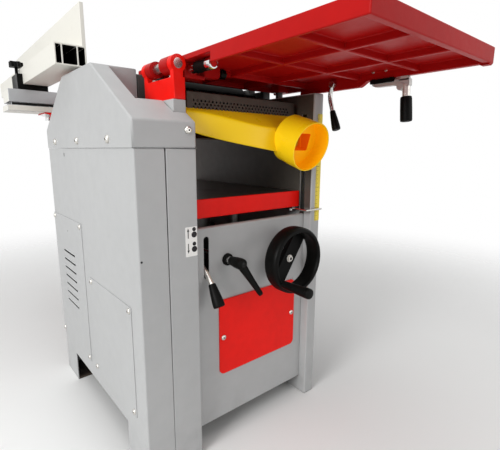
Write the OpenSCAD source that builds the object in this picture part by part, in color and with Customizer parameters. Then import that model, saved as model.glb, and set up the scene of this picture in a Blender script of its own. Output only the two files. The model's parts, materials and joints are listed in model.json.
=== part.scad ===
// Combination planer thicknesser, floor standing.
// X runs from the drive side to the operator side, Y along the feed of the thicknesser, Z up.
// The origin is the centre of the four floor bolts, on the floor.

/* [Stand] */
// Width over the drive side and the operator-side column
body_w = 474; // [440:1:520]
// Length of the stand along the feed
body_l = 547; // [520:1:620]
// Height of the joint between the drive cabinet and its cover
joint_h = 640; // [620:1:660]
// Width of the drive side
drive_w = 120; // [112:1:130]
// Width of the drive cabinet, up to the seam in the front
cabinet_w = 57; // [50:1:62]
// Width of the operator-side column
column_w = 32; // [30:1:44]
// Height of the operator-side column above the joint
column_rise = 128; // [120:1:136]
// Thickness of the folded frames
frame_t = 4; // [3:0.5:5]
// Thickness of the cover sheets
sheet_t = 2; // [1.5:0.5:2.5]
// Height of the gap between the feet
foot_gap_h = 82; // [60:1:90]
// Length of each foot
foot_l = 96; // [80:1:120]
// Thickness of the foot plates
foot_t = 6; // [4:1:10]
// Radius of the floor bolt holes
floor_bolt_r = 5.5; // [4.5:0.5:6.5]
// Thickness of the base pan
pan_t = 4; // [3:0.5:6]

/* [Panels] */
// Depth of the front and rear panels behind the stand's ends
panel_recess = 22; // [16:1:26]
// Height of the lower edge of the panels
panel_low = 45; // [30:1:60]
// Distance of the upper edge of the panels under the joint
panel_drop = 155; // [153:1:162]
// Depth of the lip along the top of the panels
panel_lip = 12; // [8:1:13]
// Mean gap between the inspection plate and the side frames
plate_gap = 46; // [42:1:70]
// Height of the inspection plate
plate_h = 173; // [140:1:190]
// Thickness of the inspection plate
plate_t = 3; // [2:0.5:5]
// Corner radius of the inspection plate
plate_r = 12; // [6:1:20]
// Thickness of the side panels
side_panel_t = 1.5; // [1:0.5:3]
// Length of the ventilation panel
vent_l = 234; // [200:1:240]
// Length of the access panel
access_l = 230; // [180:1:240]
// Height of the ventilation slots
slot_h = 8; // [5:1:12]
// Length of the ventilation slots
slot_l = 95; // [70:1:110]
// Number of ventilation slots
slot_count = 7; // [4:1:8]
// Distance from slot to slot
slot_pitch = 23; // [18:1:24]
// Radius of the round screw heads
screw_r = 6; // [4:0.5:7]
// Height of the round screw heads
screw_h = 3.2; // [2.5:0.1:4]
// Width of the depth scale
scale_w = 16; // [12:1:20]
// Length of the depth scale
scale_l = 254; // [220:1:260]
// Thickness of the depth scale
scale_t = 0.8; // [0.6:0.1:1.5]

/* [Drive cover] */
// Height of the upright band of the cover
band_h = 47; // [40:1:52]
// Height of the cover above the joint
cover_h = 160; // [158:1:162]
// Length of the sloping end of the cover
slope_l = 177; // [165:1:180]
// Width of the sloping outer wall of the cover
fin_w = 36; // [30:1:40]
// Width of the raised box over the belt
hump_w = 92; // [88:1:93]
// Height of the shelf under the hinge brackets above the joint
shelf_h = 88; // [84:1:92]
// Length of the end hood in front of the hinge bracket
hood_l = 30; // [24:1:32]

/* [Tables] */
// Height of the planing tables above the joint
table_rise = 168; // [166:1:170]
// Thickness of the table plates
table_t = 10; // [8:1:10]
// Depth of the table rims
rim_d = 26; // [24:1:28]
// Thickness of the table rims
rim_t = 12; // [8:1:14]
// Thickness of the ribs
rib_t = 8; // [6:1:10]
// Depth of the ribs under the table plates
rib_d = 12; // [8:1:14]
// Distance from the cutter to the outer end of each table
table_reach = 622; // [590:1:680]
// Distance from the cutter to the lip of each table
lip_gap = 38; // [37:0.5:40]
// Overhang of the tables past the operator-side column
table_over = 13; // [10:1:20]
// Height of the hinge axis above the joint
hinge_rise = 150; // [148:1:151]
// Distance of the hinge axis from the drive side
hinge_in = 106; // [104:1:108]
// Gap between the hinge axis and the table edge
hinge_gap = 17; // [17:0.5:20]
// Radius of the hinge shafts
hinge_r = 9; // [7:0.5:10]
// Radius of the hinge eyes
eye_r = 15.5; // [13:0.5:16]
// Length of the hinge brackets
bracket_l = 119; // [110:1:122]
// Thickness of the ears of the hinge brackets
ear_t = 14; // [10:1:16]

/* [Cutter and feed] */
// Radius of the cutter block over the knives
cutter_r = 35; // [34:0.5:36]
// Gap between the cutter block and the side frames
cutter_gap = 6; // [5:1:11]
// Number of knives
knife_count = 3; // [2:1:4]
// Radius of the cutter journals
journal_r = 12.5; // [11:0.5:13]
// Radius of the feed rollers
roller_r = 22; // [18:0.5:23]
// Distance of the feed rollers from the cutter
roller_gap = 62; // [60:1:62]
// Radius of the roller journals
roller_pin_r = 10; // [8:0.5:11]
// Depth of the feed rollers under the knives
roller_drop = 1; // [0.5:0.5:2]
// Radius of the cutter pulley
pulley_r = 20; // [16:0.5:20]
// Radius of the motor pulley
motor_pulley_r = 42; // [30:1:50]
// Width of the belt
belt_w = 18; // [12:1:20]
// Thickness of the belt
belt_t = 2.5; // [2:0.5:3]
// Distance between the anti-kickback fingers
finger_pitch = 15; // [14:1:30]
// Radius of the motor
motor_r = 75; // [60:1:80]
// Gap between the motor and the operator-side column
motor_gap = 55; // [35:5:105]

/* [Thicknesser] */
// Distance of the thicknesser table under the joint at rest
bed_drop = 99; // [95:1:105]
// Depth of the thicknesser table
bed_d = 39; // [34:1:42]
// Thickness of the thicknesser table's walls and plate
bed_t = 14; // [10:1:16]
// Distance of the thicknesser table from the stand's ends
bed_recess = 35; // [33:1:45]
// Gap between the thicknesser table and the side frames
bed_gap = 4; // [3:0.5:8]
// Radius of the guide post
post_r = 45; // [36:1:50]
// Wall of the guide post and of its sleeve
post_t = 12; // [8:1:15]
// Radius of the lifting screw
screw_rod_r = 11; // [8:0.5:12]
// Distance of the handwheel shaft under the joint
wheel_drop = 240; // [230:1:250]
// Distance of the handwheel shaft from the operator-side column
wheel_in = 102; // [92:1:112]
// Radius of the handwheel
wheel_r = 73; // [60:1:78]
// Radius of the handwheel shaft
wheel_shaft_r = 10; // [8:0.5:11]
// Length of the crank handle
crank_l = 77; // [60:1:90]
// Radius of the bevel gears
bevel_r = 30; // [24:1:32]

/* [Dust outlet] */
// Outer radius of the dust port
port_r = 53; // [48:0.5:56]
// Length of the dust port
port_l = 62; // [50:1:80]
// Length of the hose seat at the end of the dust port
port_seat = 40; // [24:1:42]
// Wall of the dust outlet
port_t = 3; // [2:0.5:4]
// Downward tilt of the dust port in degrees
port_tilt = 18; // [10:1:22]
// Gap between the chip guard and the side frames
guard_gap = 13; // [11:1:26]
// Height of the perforated plate
guard_h = 34; // [30:1:36]
// Radius of the holes in the perforated plate
hole_r = 2; // [1.5:0.1:2.5]
// Distance from hole to hole
hole_pitch = 9; // [8:0.5:12]

/* [Fence] */
// Length of the fence
fence_l = 700; // [500:10:800]
// Width of the fence beam
beam_w = 64; // [50:1:70]
// Height of the fence beam
beam_h = 43; // [36:1:50]
// Height of the fence face
face_h = 130; // [100:1:150]
// Wall of the fence extrusion
beam_t = 3; // [2:0.5:4]
// Gap between the fence and the tables
fence_gap = 2; // [2:0.5:4]

/* [Fits] */
// Radial clearance of shafts that turn or slide
run_gap = 0.06; // [0.04:0.01:0.08]
// Gap between moving pieces
clear_gap = 0.4; // [0.3:0.1:0.8]

/* [Hidden] */
$fn = 48;
over = 1;
bend_over = 0.6;
loop_steps = 20;

// Limits of the stand
x_left = -body_w / 2;
x_right = body_w / 2;
y_front = -body_l / 2;
y_back = body_l / 2;
seam_x = x_left + cabinet_w;
throat_l = x_left + drive_w;
throat_r = x_right - column_w;
throat_c = (throat_l + throat_r) / 2;
throat_w = throat_r - throat_l;
bolt_x = x_right - column_w / 2;
bolt_y = y_back - foot_l / 2;
foot_inner = y_back - foot_l;
panel_y = y_front + panel_recess;
panel_top = joint_h - panel_drop;
column_h = joint_h + column_rise;
table_top = joint_h + table_rise;

// Drive cover, left frame and head
band_z = joint_h + band_h;
cover_z = joint_h + cover_h;
shelf_z = joint_h + shelf_h;
slope_rise = (cover_h - band_h) / slope_l;
shelf_l = (shelf_h - band_h) / slope_rise;
rail_w = drive_w - hump_w - over;
rail_h = 28;
head_half = 95;
head_w = 24;
head_inset = 2;
tower_room = 4;
tower_half = lip_gap - tower_room;
cutter_z = table_top - cutter_r;
roller_z = cutter_z - cutter_r - roller_drop + roller_r;
bearing_t = 11;
bearing_r = journal_r + bearing_t;
bearing_w = 12;
bush_t = 3;
bush_out = 10;
bush_in = 14;
head_sink = 43;
head_low = column_h - head_sink;
shoulder_gap = 8;
shoulder_z = table_top - table_t - shoulder_gap;
tower_gap = 7;
tower_z = table_top - tower_gap;
head_xl = throat_l - head_inset - head_w;
head_xr = throat_r + head_inset;

// Tables and hinges
hinge_x = x_left + hinge_in;
hinge_z = joint_h + hinge_rise;
table_l = hinge_x + hinge_gap;
table_r = x_right + table_over;
plate_z = table_top - table_t;
rim_z = table_top - rim_d;
bracket_in = 31;
bracket_y = y_front + bracket_in;
bracket_h = 39;
bracket_z = shelf_z + bracket_h;
bracket_w = 24;
ear_side = 3;
eye_gap = 1.5;
lug_a_l = 30;
lug_b_l = 21;
lug_a_y = bracket_y + ear_t + eye_gap;
lug_b_y = bracket_y + bracket_l - ear_t - eye_gap - lug_b_l;
lug_reach = 68;
lug_drop = 20;
lug_z = hinge_z - lug_drop;
lug_half = 8;
lug_up = 2;
lug_in = 4;
head_room = 5;
rim_stop = 90;
flange_d = 10;
flange_z = rim_z - flange_d;
flange_y0 = -366;
flange_y1 = -197;
rest_y = 140;
rest_r = 9;
pad_half = 15;
bent_in = 6;
bent_x = table_r - rim_t - bent_in;
bent_out = 28;
bent_y = y_front - bent_out;
bent_up = 4;
bent_z = rim_z + bent_up;
bent_pin_r = 4;
bent_rod_r = 5;
bent_hub_r = 8;
bent_top = [bent_y, bent_z];
bent_knee = [7, -27];
bent_neck = [-7, -61];
bent_end = [-26, -106];
bent_path = [bent_top, bent_top + bent_knee, bent_top + bent_neck, bent_top + bent_end];
bent_pin_in = 2;
bent_grip_r = [6.5, 11];
swing_x = table_r - rim_t / 2;
swing_y = -396;
swing_l = 74;
swing_rod_r = 4.5;
swing_wall = 4;
swing_lug = swing_rod_r + swing_wall;
swing_side = 2;
swing_lug_t = 10;
swing_gap = 2;
swing_z = rim_z - swing_gap - swing_rod_r;
swing_drop = 33;
swing_grip_l = 46;
swing_grip_r = [8, 11];
swing_lean = 4;
latch_in = 19;
latch_x = table_l + latch_in;
latch_drop = 12;
latch_z = plate_z - latch_drop;
latch_l = 74;
latch_r = 10.5;
latch_pin_r = 6;
latch_pin_l = 22;
latch_room = 2;
rib_x = [10, 130];
rib_y = [-107, -212, -367, -497];

// Drive and feed
pulley_in = 27;
pulley_x = x_left + pulley_in;
pulley_rim = 4;
motor_back = 103.5;
motor_y = y_back - motor_back;
motor_lift = 12;
motor_z = foot_gap_h + pan_t + motor_r + motor_lift;
motor_flat = 0.7;
motor_shaft_r = 12;
motor_in = 17;
motor_foot_in = 50;
motor_box_in = 70;
motor_box_h = 30;
motor_bore_l = 60;
motor_bore_end = 10;
motor_shaft_room = 8;
motor_l = throat_w - motor_in - motor_gap;
cutter_l = throat_w - 2 * cutter_gap;
sprocket_out = 22;
sprocket_x = head_xl - sprocket_out;
sprocket_r = cutter_z + journal_r - roller_z + clear_gap;
sprocket_w = 6;
chain_t = 4;
finger_in = 8;
finger_y = bracket_y + bracket_l - finger_in;
finger_drop = 10;
finger_z = bracket_z - finger_drop;
finger_rod_r = 5;
finger_edge = 11;
finger_count = floor((throat_w - 2 * finger_edge) / finger_pitch);
finger_t = 8;
finger_w = 14;
finger_l = 29;
finger_wall = 1;
finger_point = 2;
roller_side = 2;
roller_pin_end = 4;
groove_count = 24;
groove_w = 2;
groove_d = 1.5;

// Thicknesser table and its lift
bed_top = joint_h - bed_drop;
bed_low = bed_top - bed_d;
bed_under = bed_top - bed_t;
bed_y = -(y_back - bed_recess);
bed_rib_y = 150;
bed_rib_half = 5;
sleeve_r = post_r + post_t;
post_cap = 20;
post_gap = 84;
post_low = foot_gap_h + pan_t + post_gap;
sleeve_up = 20;
sleeve_low = post_low + sleeve_up;
sleeve_drop = 62;
sleeve_top = bed_low - sleeve_drop;
wheel_x = throat_r - wheel_in;
wheel_z = joint_h - wheel_drop;
bridge_drop = 100;
bridge_z = wheel_z - bridge_drop;
bridge_t = 8;
bridge_gap = 10;
bridge_y = [-180, motor_y - motor_r - bridge_gap];
screw_y = -100;
screw_under = 60;
screw_low = bridge_z - screw_under;
gear_z = wheel_z - bevel_r;
gear_h = 16;
hub_r = 18;
hub_l = 24;
screw_room = 2;
seat_gap = 2;
seat_z = gear_z - seat_gap;
gear_base = 28;
gear_base_t = 8;
bearing_back = 40;
bearing_y = screw_y - bevel_r - bearing_back;
bearing_half = 8;
bearing_side = 18;
bearing_up = 20;
boss_side = 12;
boss_half = 30;
boss_rise = 16;
stud_bore_end = 8;
wheel_out = 34;
wheel_back = y_front - wheel_out;
rim_depth = 26;
rim_w = 17;
spoke_w = 30;
spoke_t = 10;
spoke_in = 4;
hub_wall = 8;
hub_over = 2;
hub_h = spoke_in + spoke_t + hub_over;
rim_round = 3;
rim_steps = 2;
spoke_turn = 52;
crank_turn = 220;
crank_offset = wheel_r - rim_w / 2;
crank_x = wheel_x + crank_offset * cos(crank_turn);
crank_z = wheel_z + crank_offset * sin(crank_turn);
crank_pin_r = 5;
crank_r = 11;
crank_cap = 5;
crank_neck = 0.72;
crank_waist = [0.86, 0.3];
crank_full = 0.8;
crank_round = [4, 5];
lock_shift = 4.5;
lock_x = (throat_l + throat_c) / 2 + lock_shift;
lock_drop = 229;
lock_z = joint_h - lock_drop;
stud_r = 6;
lock_arm = 86;
lock_turn = -58;
lock_lean = 18;
lock_out = 34;
lock_hub_l = 24;
lock_hub_r = 12;
lock_neck_r = 9.5;
lock_tip_r = 6;
lock_collar_r = 14;
lock_collar_l = 9;
stud_end = 10;
lever_share = 0.205;
lever_x = throat_l + (throat_c - throat_l) * lever_share;
pivot_in = 122;
pivot_y = y_front + pivot_in;
pivot_drop = 214;
pivot_z = joint_h - pivot_drop;
pivot_seat = 12;
pivot_over = 7;
pivot_r = 8;
lever_r = 5;
lever_slot_w = 13;
lever_slot_drop = [262, 173];
lever_slot_low = joint_h - lever_slot_drop[0];
lever_slot_top = joint_h - lever_slot_drop[1];
exit_at = [31, -243];
neck_at = [4, -268];
end_at = [-22, -309];
lever_exit = [y_front, joint_h] + exit_at;
lever_neck = [y_front, joint_h] + neck_at;
lever_end = [y_front, joint_h] + end_at;
feed_grip_r = [7.5, 12];
grip_round = 0.35;
grip_full = 0.72;

// Pointer of the depth scale
pointer_r = 2.2;
pointer_gap = 3;
pointer_in = 12;
pointer_shift = 4;
pointer_step = 2;
pointer_pad_half = 10;
pointer_pad_l = 22;
pointer_pad_t = 5;
pointer_bolt_r = 5;
pointer_slot_w = 16;

// Dust outlet
guard_w = throat_w - 2 * guard_gap;
guard_l = throat_l + guard_gap;
guard_r = throat_r - guard_gap;
chute_in = 52;
chute_back = y_front + chute_in;
chute_front = y_front;
chute_gap = [20, 8];
chute_l = throat_l + chute_gap[0];
chute_r = throat_r - chute_gap[1];
guard_y = chute_back - sheet_t;
guard_rise = 78;
guard_z = joint_h + guard_rise;
guard_fold = 14;
guard_slope = [40, 10];
guard_floor = 22;
guard_floor_z = joint_h + guard_floor;
guard_floor_end = 50;
guard_floor_rise = 28;
guard_back = 88;
stub_r = 7;
stub_y = 20;
stub_rise = 72;
hole_rows = 3;
hole_edge = 15;
hole_low = 5;
hole_row_share = 0.7;
port_side = 11;
port_x = chute_r - port_r - port_side;
neck_side = 48;
neck_l = port_x - neck_side;
port_rise = 25;
port_z = joint_h + port_rise;
chute_drop_r = 24;
chute_low_r = joint_h - chute_drop_r;
chute_rise_l = 32;
chute_low_l = joint_h + chute_rise_l;
chute_top = 44;
chute_top_z = joint_h + chute_top;
chute_end = 8;
chute_bow = 1.6;
chute_steps = 6;
port_root = 6;
port_step = 0.8;
mouth = [44, 40, 60];

// Fence
fence_z = table_top + fence_gap;
fence_out = 32;
fence_x = x_left - fence_out;
fence_y = 15;
rail_out = 62;
rail_y = y_back + rail_out;
rail_l = 84;
rail_drop = 48;
rail_z = fence_z - rail_drop;
rail_t = 33;
rail_over = 71;
rail_x0 = x_left - rail_over;
rail_gap = 4;
rail_x1 = table_l - rail_gap;
rail_under = 23;
rail_groove = 8;
rail_cap = 4;
groove_in = 6;
foot_side = 4;
foot_in = 6;
arm_in = 13;
arm_side = 20;
arm_gap = 4;
arm_t = 10;
arm_h = 80;
arm_lip = 14;
arm_foot = [20, 40];
arm_bolt_r = 8;
arm_bolt_at = [10, 14];
arm_bolt_l = 20;
beam_walls = 4;
face_t = 8;
clamp_w = 14;
clamp_h = 26;
knob_r = 13;
knob_h = 14;
knob_lobe_r = 5;
knob_lobes = 5;
knob_stem_r = 4;
knob_stem_l = 16;
knob_lift = 20;

// Operator-side switch box
box_y = -170;
box_rise = 20;
box_z = joint_h + box_rise;
box_w = 86;
box_h = 130;
box_d = 40;
box_t = 3;
gland_r = 11;
gland_l = 22;
button_r = 12;
button_gap = 26;
button_out = 7;
button_in = 9;

// A box between limits along X, Y and Z
module block(x, y, z) {
    translate([x[0], y[0], z[0]]) cube([x[1] - x[0], y[1] - y[0], z[1] - z[0]]);
}

// Round bars along the three axes
module rod_x(r, x, y, z) {
    translate([x[0], y, z]) rotate([0, 90, 0]) cylinder(r = r, h = x[1] - x[0]);
}
module rod_y(r, x, y, z) {
    translate([x, y[0], z]) rotate([-90, 0, 0]) cylinder(r = r, h = y[1] - y[0]);
}
module rod_z(r, x, y, z) {
    translate([x, y, z[0]]) cylinder(r = r, h = z[1] - z[0]);
}

// A round bar from one point to another, which may taper
module bar(a, b, r, end_r = -1) {
    d = b - a;
    flat = norm([d[0], d[1]]);
    translate(a)
        rotate([0, atan2(flat, d[2]), atan2(d[1], d[0])])
        cylinder(r1 = r, r2 = end_r < 0 ? r : end_r, h = norm(d));
}

// An outline in Y and Z, drawn out along X
module prism_x(points, x) {
    translate([x[0], 0, 0]) rotate([90, 0, 90]) linear_extrude(x[1] - x[0]) polygon(points);
}

// The same piece on both sides of the cutter
module both_ends() {
    children();
    mirror([0, 1, 0]) children();
}

// A plate with round corners in X and Z, standing on a face that looks along -Y
module corner_plate(w, h, t, r) {
    rotate([90, 0, 0]) linear_extrude(t) {
        square([w - 2 * r, h], center = true);
        square([w, h - 2 * r], center = true);
        for (i = [-1, 1], j = [-1, 1]) translate([i * (w / 2 - r), j * (h / 2 - r)]) circle(r);
    }
}

// A round screw head on a face, with its top cut from a sphere
module screw_head() {
    dome = (screw_r * screw_r + screw_h * screw_h) / (2 * screw_h);
    intersection() {
        cylinder(r = screw_r, h = screw_h);
        translate([0, 0, screw_h - dome]) sphere(dome);
    }
}
module side_screw(x, y, z) {
    translate([x, y, z]) rotate([0, -90, 0]) screw_head();
}
module front_screw(x, y, z) {
    translate([x, y, z]) rotate([90, 0, 0]) screw_head();
}

// The outline of a band round two wheels, the first one of radius r at p
function loop_points(p, r, q, s) =
    let (d = q - p)
    let (turn = atan2(d[1], d[0]))
    let (lean = acos((r - s) / norm(d)))
    concat(
        [for (i = [0 : loop_steps]) p + r * unit(turn + lean + i * (360 - 2 * lean) / loop_steps)],
        [for (i = [0 : loop_steps]) q + s * unit(turn - lean + i * 2 * lean / loop_steps)]
    );
function unit(a) = [cos(a), sin(a)];
module band(p, r, q, s, t, x) {
    translate([x[0], 0, 0]) rotate([90, 0, 90]) linear_extrude(x[1] - x[0]) difference() {
        polygon(loop_points(p, r + t, q, s + t));
        polygon(loop_points(p, r, q, s));
    }
}

// A lever grip along Z, thin at its neck and full at its end
module grip(neck_r, end_r, l) {
    round_r = end_r * grip_round;
    rotate_extrude() polygon([
        [0, 0], [neck_r, 0], [end_r, l * grip_full], [end_r, l - round_r], [end_r - round_r, l], [0, l]
    ]);
}
module grip_along(a, b, neck_r, end_r) {
    d = b - a;
    translate(a)
        rotate([0, atan2(norm([d[0], d[1]]), d[2]), atan2(d[1], d[0])])
        grip(neck_r, end_r, norm(d));
}

// Stand
module base_pan() {
    color("dimgray") {
        block(
            [throat_l, throat_r], [panel_y + sheet_t, -panel_y - sheet_t],
            [foot_gap_h, foot_gap_h + pan_t]
        );
    }
}

module floor_feet() {
    color("dimgray") for (i = [-1, 1], j = [-1, 1]) {
        inner = i < 0 ? [x_left + sheet_t, throat_l - frame_t] : [throat_r + frame_t, x_right - frame_t];
        long = j < 0 ? [y_front + frame_t, -foot_inner] : [foot_inner, y_back - frame_t];
        difference() {
            block(inner, long, [0, foot_t]);
            rod_z(floor_bolt_r, i * bolt_x, j * bolt_y, [-over, foot_t + over]);
        }
    }
}

module left_frame() {
    web = [throat_l - frame_t, throat_l];
    inner = [y_front + hood_l + over, y_back - hood_l - over];
    color("darkgray") difference() {
        union() {
            block(web, [y_front, y_back], [0, joint_h]);
            block(web, inner, [joint_h - over, shelf_z - rail_h + over]);
            both_ends() block([seam_x, throat_l], [y_front, y_front + frame_t], [0, joint_h]);
            difference() {
                block([throat_l - rail_w, throat_l], inner, [shelf_z - rail_h, shelf_z]);
                block(
                    [throat_l - rail_w + frame_t, throat_l - frame_t],
                    [inner[0] + frame_t, inner[1] - frame_t],
                    [shelf_z - rail_h + frame_t, shelf_z - frame_t]
                );
            }
        }
        block([web[0] - over, web[1] + over], [-foot_inner, foot_inner], [-over, foot_gap_h]);
        rod_x(motor_shaft_r + motor_shaft_room, [web[0] - over, web[1] + over], motor_y, motor_z);
        rod_x(pivot_r + run_gap, [web[0] - over, web[1] + over], pivot_y, pivot_z);
    }
}

module right_frame() {
    wall = [throat_r + frame_t, x_right - frame_t];
    ends = [y_front + frame_t, y_back - frame_t];
    notch = head_half + head_inset;
    color("darkgray") difference() {
        block([throat_r, x_right], [y_front, y_back], [0, column_h]);
        block(wall, ends, [-over, head_low - frame_t]);
        both_ends() block(wall, [ends[0], -notch - frame_t], [head_low - frame_t - over, column_h - frame_t]);
        block([throat_r - over, x_right + over], [-notch, notch], [head_low, column_h + over]);
        block([throat_r - over, x_right + over], [-foot_inner, foot_inner], [-over, foot_gap_h]);
        block(
            [throat_r - over, wall[0] + over],
            [panel_y, panel_y + pointer_slot_w],
            [scale_z - scale_l, scale_z]
        );
    }
}

module drive_cabinet() {
    gap = over;
    inside = [x_left + sheet_t, seam_x];
    color("lightgray") difference() {
        block([x_left, seam_x - gap], [y_front, y_back], [0, joint_h]);
        block(inside, [y_front + sheet_t, y_back - sheet_t], [-over, joint_h + over]);
        block([x_left - over, seam_x], [-foot_inner, foot_inner], [-over, foot_gap_h]);
        vent_window();
        access_window();
    }
}

vent_edge = 1;
vent_y = y_back - vent_l - vent_edge;
vent_z = [119, 468];
access_in = 45;
access_y = y_front + access_in;
access_z = [119, 349];
window_in = 26;
slot_drop = 92;
module vent_window() {
    block(
        [x_left - over, x_left + sheet_t + over],
        [vent_y + window_in, vent_y + vent_l - window_in],
        [vent_z[0] + window_in, vent_z[1] - window_in]
    );
}
module access_window() {
    block(
        [x_left - over, x_left + sheet_t + over],
        [access_y + window_in, access_y + access_l - window_in],
        [access_z[0] + window_in, access_z[1] - window_in]
    );
}

module side_panels() {
    face = [x_left - side_panel_t, x_left];
    slot_y = vent_y + (vent_l - slot_l) / 2;
    slot_top = vent_z[1] - slot_drop;
    color("lightgray") {
        difference() {
            block(face, [vent_y, vent_y + vent_l], vent_z);
            for (i = [0 : slot_count - 1])
                block(
                    [face[0] - over, face[1] + over],
                    [slot_y, slot_y + slot_l],
                    [slot_top - i * slot_pitch - slot_h, slot_top - i * slot_pitch]
                );
        }
        block(face, [access_y, access_y + access_l], access_z);
    }
}

// Side outlines of the drive cover, drawn inwards by t
function fin_line(t) =
    let (drop = t / cos(atan(slope_rise)) - t)
    let (run = (cover_h - band_h + drop) / slope_rise)
    [
        [y_front + t, joint_h - (t > 0 ? over : 0)],
        [y_front + t, band_z + t * slope_rise - drop - t],
        [y_front + run, cover_z - t],
        [y_back - run, cover_z - t],
        [y_back - t, band_z + t * slope_rise - drop - t],
        [y_back - t, joint_h - (t > 0 ? over : 0)]
    ];
function shelf_line(t) =
    let (drop = t / cos(atan(slope_rise)) - t)
    [
        [y_front + t, joint_h - (t > 0 ? over : 0)],
        [y_front + t, band_z + t * slope_rise - drop - t],
        [y_front + shelf_l + drop / slope_rise, shelf_z - t],
        [y_back - shelf_l - drop / slope_rise, shelf_z - t],
        [y_back - t, band_z + t * slope_rise - drop - t],
        [y_back - t, joint_h - (t > 0 ? over : 0)]
    ];
function hood_line(t) =
    let (drop = t / cos(atan(slope_rise)) - t)
    [
        [y_front + t, joint_h - (t > 0 ? over : 0)],
        [y_front + t, band_z + t * slope_rise - drop - t],
        [y_front + hood_l - t, band_z + (hood_l - t) * slope_rise - drop - t],
        [y_front + hood_l - t, joint_h - (t > 0 ? over : 0)]
    ];

module drive_cover() {
    fin_x = x_left + fin_w;
    hump_x = x_left + hump_w;
    hump_y = slope_l;
    t = sheet_t;
    color("lightgray") difference() {
        union() {
            prism_x(fin_line(0), [x_left, fin_x]);
            prism_x(shelf_line(0), [fin_x - over, hump_x]);
            block([fin_x - over, hump_x], [y_front + hump_y, y_back - hump_y], [joint_h, cover_z]);
            both_ends() prism_x(hood_line(0), [hump_x - over, throat_l]);
        }
        prism_x(fin_line(t), [x_left + t, fin_x - t]);
        prism_x(shelf_line(t), [fin_x - t - over, hump_x - t]);
        block(
            [fin_x - t - over, hump_x - t],
            [y_front + hump_y + t, y_back - hump_y - t],
            [joint_h - over, cover_z - t]
        );
        both_ends() prism_x(hood_line(t), [hump_x - t - over, throat_l - t]);
        block(
            [hump_x - t - over, hump_x + over],
            [-head_half - over, head_half + over],
            [shelf_z, cover_z - t]
        );
    }
}

module front_panel() {
    color("darkgray") difference() {
        union() {
            block([throat_l, throat_r], [panel_y, panel_y + sheet_t], [panel_low, panel_top]);
            block([throat_l, throat_r], [panel_y, panel_y + panel_lip], [panel_top - sheet_t, panel_top]);
        }
        translate([0, panel_y - over, 0]) {
            block(
                [lever_x - lever_slot_w / 2, lever_x + lever_slot_w / 2],
                [0, sheet_t + 2 * over],
                [lever_slot_low + lever_slot_w / 2, lever_slot_top - lever_slot_w / 2]
            );
            for (z = [lever_slot_low + lever_slot_w / 2, lever_slot_top - lever_slot_w / 2])
                rod_y(lever_slot_w / 2, lever_x, [0, sheet_t + 2 * over], z);
            rod_y(stud_r + clear_gap, lock_x, [0, sheet_t + 2 * over], lock_z);
            rod_y(wheel_shaft_r + bush_t, wheel_x, [0, sheet_t + 2 * over], wheel_z);
        }
    }
}

module rear_panel() {
    color("darkgray") mirror([0, 1, 0]) {
        block([throat_l, throat_r], [panel_y, panel_y + sheet_t], [panel_low, panel_top]);
        block([throat_l, throat_r], [panel_y, panel_y + panel_lip], [panel_top - sheet_t, panel_top]);
    }
}

plate_w = throat_w - 2 * plate_gap;
plate_shift = 16;
plate_x = throat_c + plate_shift;
plate_drop = 163;
plate_zc = wheel_z - plate_drop;
module inspection_plate() {
    color("red") translate([plate_x, panel_y, plate_zc]) corner_plate(plate_w, plate_h, plate_t, plate_r);
}

scale_edge = 2;
scale_x = x_right - scale_w / 2 - scale_edge;
scale_rise = 82;
scale_z = joint_h + scale_rise;
module depth_scale() {
    color("gold")
        block(
            [scale_x - scale_w / 2, scale_x + scale_w / 2],
            [y_front - scale_t, y_front],
            [scale_z - scale_l, scale_z]
        );
}

corner_in = 9;
plate_screw_in = 10;
cover_screw_y = [y_front + 105, 13.5, y_back - 81];
cover_screw_up = 16;
band_screw_in = 17;
band_screw_up = 32;
module case_screws() {
    in = corner_in;
    panel_face = x_left - side_panel_t;
    color("silver") {
        for (y = cover_screw_y) side_screw(x_left, y, joint_h + cover_screw_up);
        front_screw(throat_l - band_screw_in, y_front, joint_h + band_screw_up);
        for (y = [vent_y + in, vent_y + vent_l - in], z = [vent_z[0] + in, vent_z[1] - in])
            side_screw(panel_face, y, z);
        for (y = [access_y + in, access_y + access_l - in], z = [access_z[0] + in, access_z[1] - in])
            side_screw(panel_face, y, z);
        for (i = [-1, 1])
            front_screw(plate_x + i * (plate_w / 2 - plate_screw_in), panel_y - plate_t, plate_zc);
    }
}

// Head: hinge brackets, shafts, bearing blocks, rests
module hinge_brackets() {
    ear = [[bracket_y, bracket_y + ear_t], [bracket_y + bracket_l - ear_t, bracket_y + bracket_l]];
    bracket_x = [throat_l - bracket_w, throat_l];
    ear_half = ear_t / 2 + ear_side;
    color("firebrick") both_ends() difference() {
        union() {
            block(bracket_x, [bracket_y, bracket_y + bracket_l], [shelf_z, bracket_z]);
            for (y = ear) {
                block([hinge_x - ear_half, hinge_x + ear_half], y, [bracket_z - over, hinge_z]);
                rod_y(eye_r, hinge_x, y, hinge_z);
            }
        }
        rod_y(hinge_r, hinge_x, [bracket_y - over, bracket_y + bracket_l + over], hinge_z);
    }
}

module fixed_shafts() {
    color("silver") {
        both_ends() rod_y(hinge_r, hinge_x, [bracket_y, bracket_y + bracket_l], hinge_z);
        rod_x(finger_rod_r, [throat_l, throat_r], finger_y, finger_z);
    }
}

module head_block(x, low) {
    difference() {
        prism_x([
            [-head_half, low], [head_half, low], [head_half, shoulder_z], [tower_half, shoulder_z],
            [tower_half, tower_z], [-tower_half, tower_z], [-tower_half, shoulder_z], [-head_half, shoulder_z]
        ], [x, x + head_w]);
        rod_x(bearing_r, [x - over, x + head_w + over], 0, cutter_z);
        for (i = [-1, 1])
            rod_x(roller_pin_r + bush_t, [x - over, x + head_w + over], i * roller_gap, roller_z);
    }
}
module head_blocks() {
    color("slategray") {
        head_block(head_xl, shelf_z);
        head_block(head_xr, head_low);
    }
}

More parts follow.
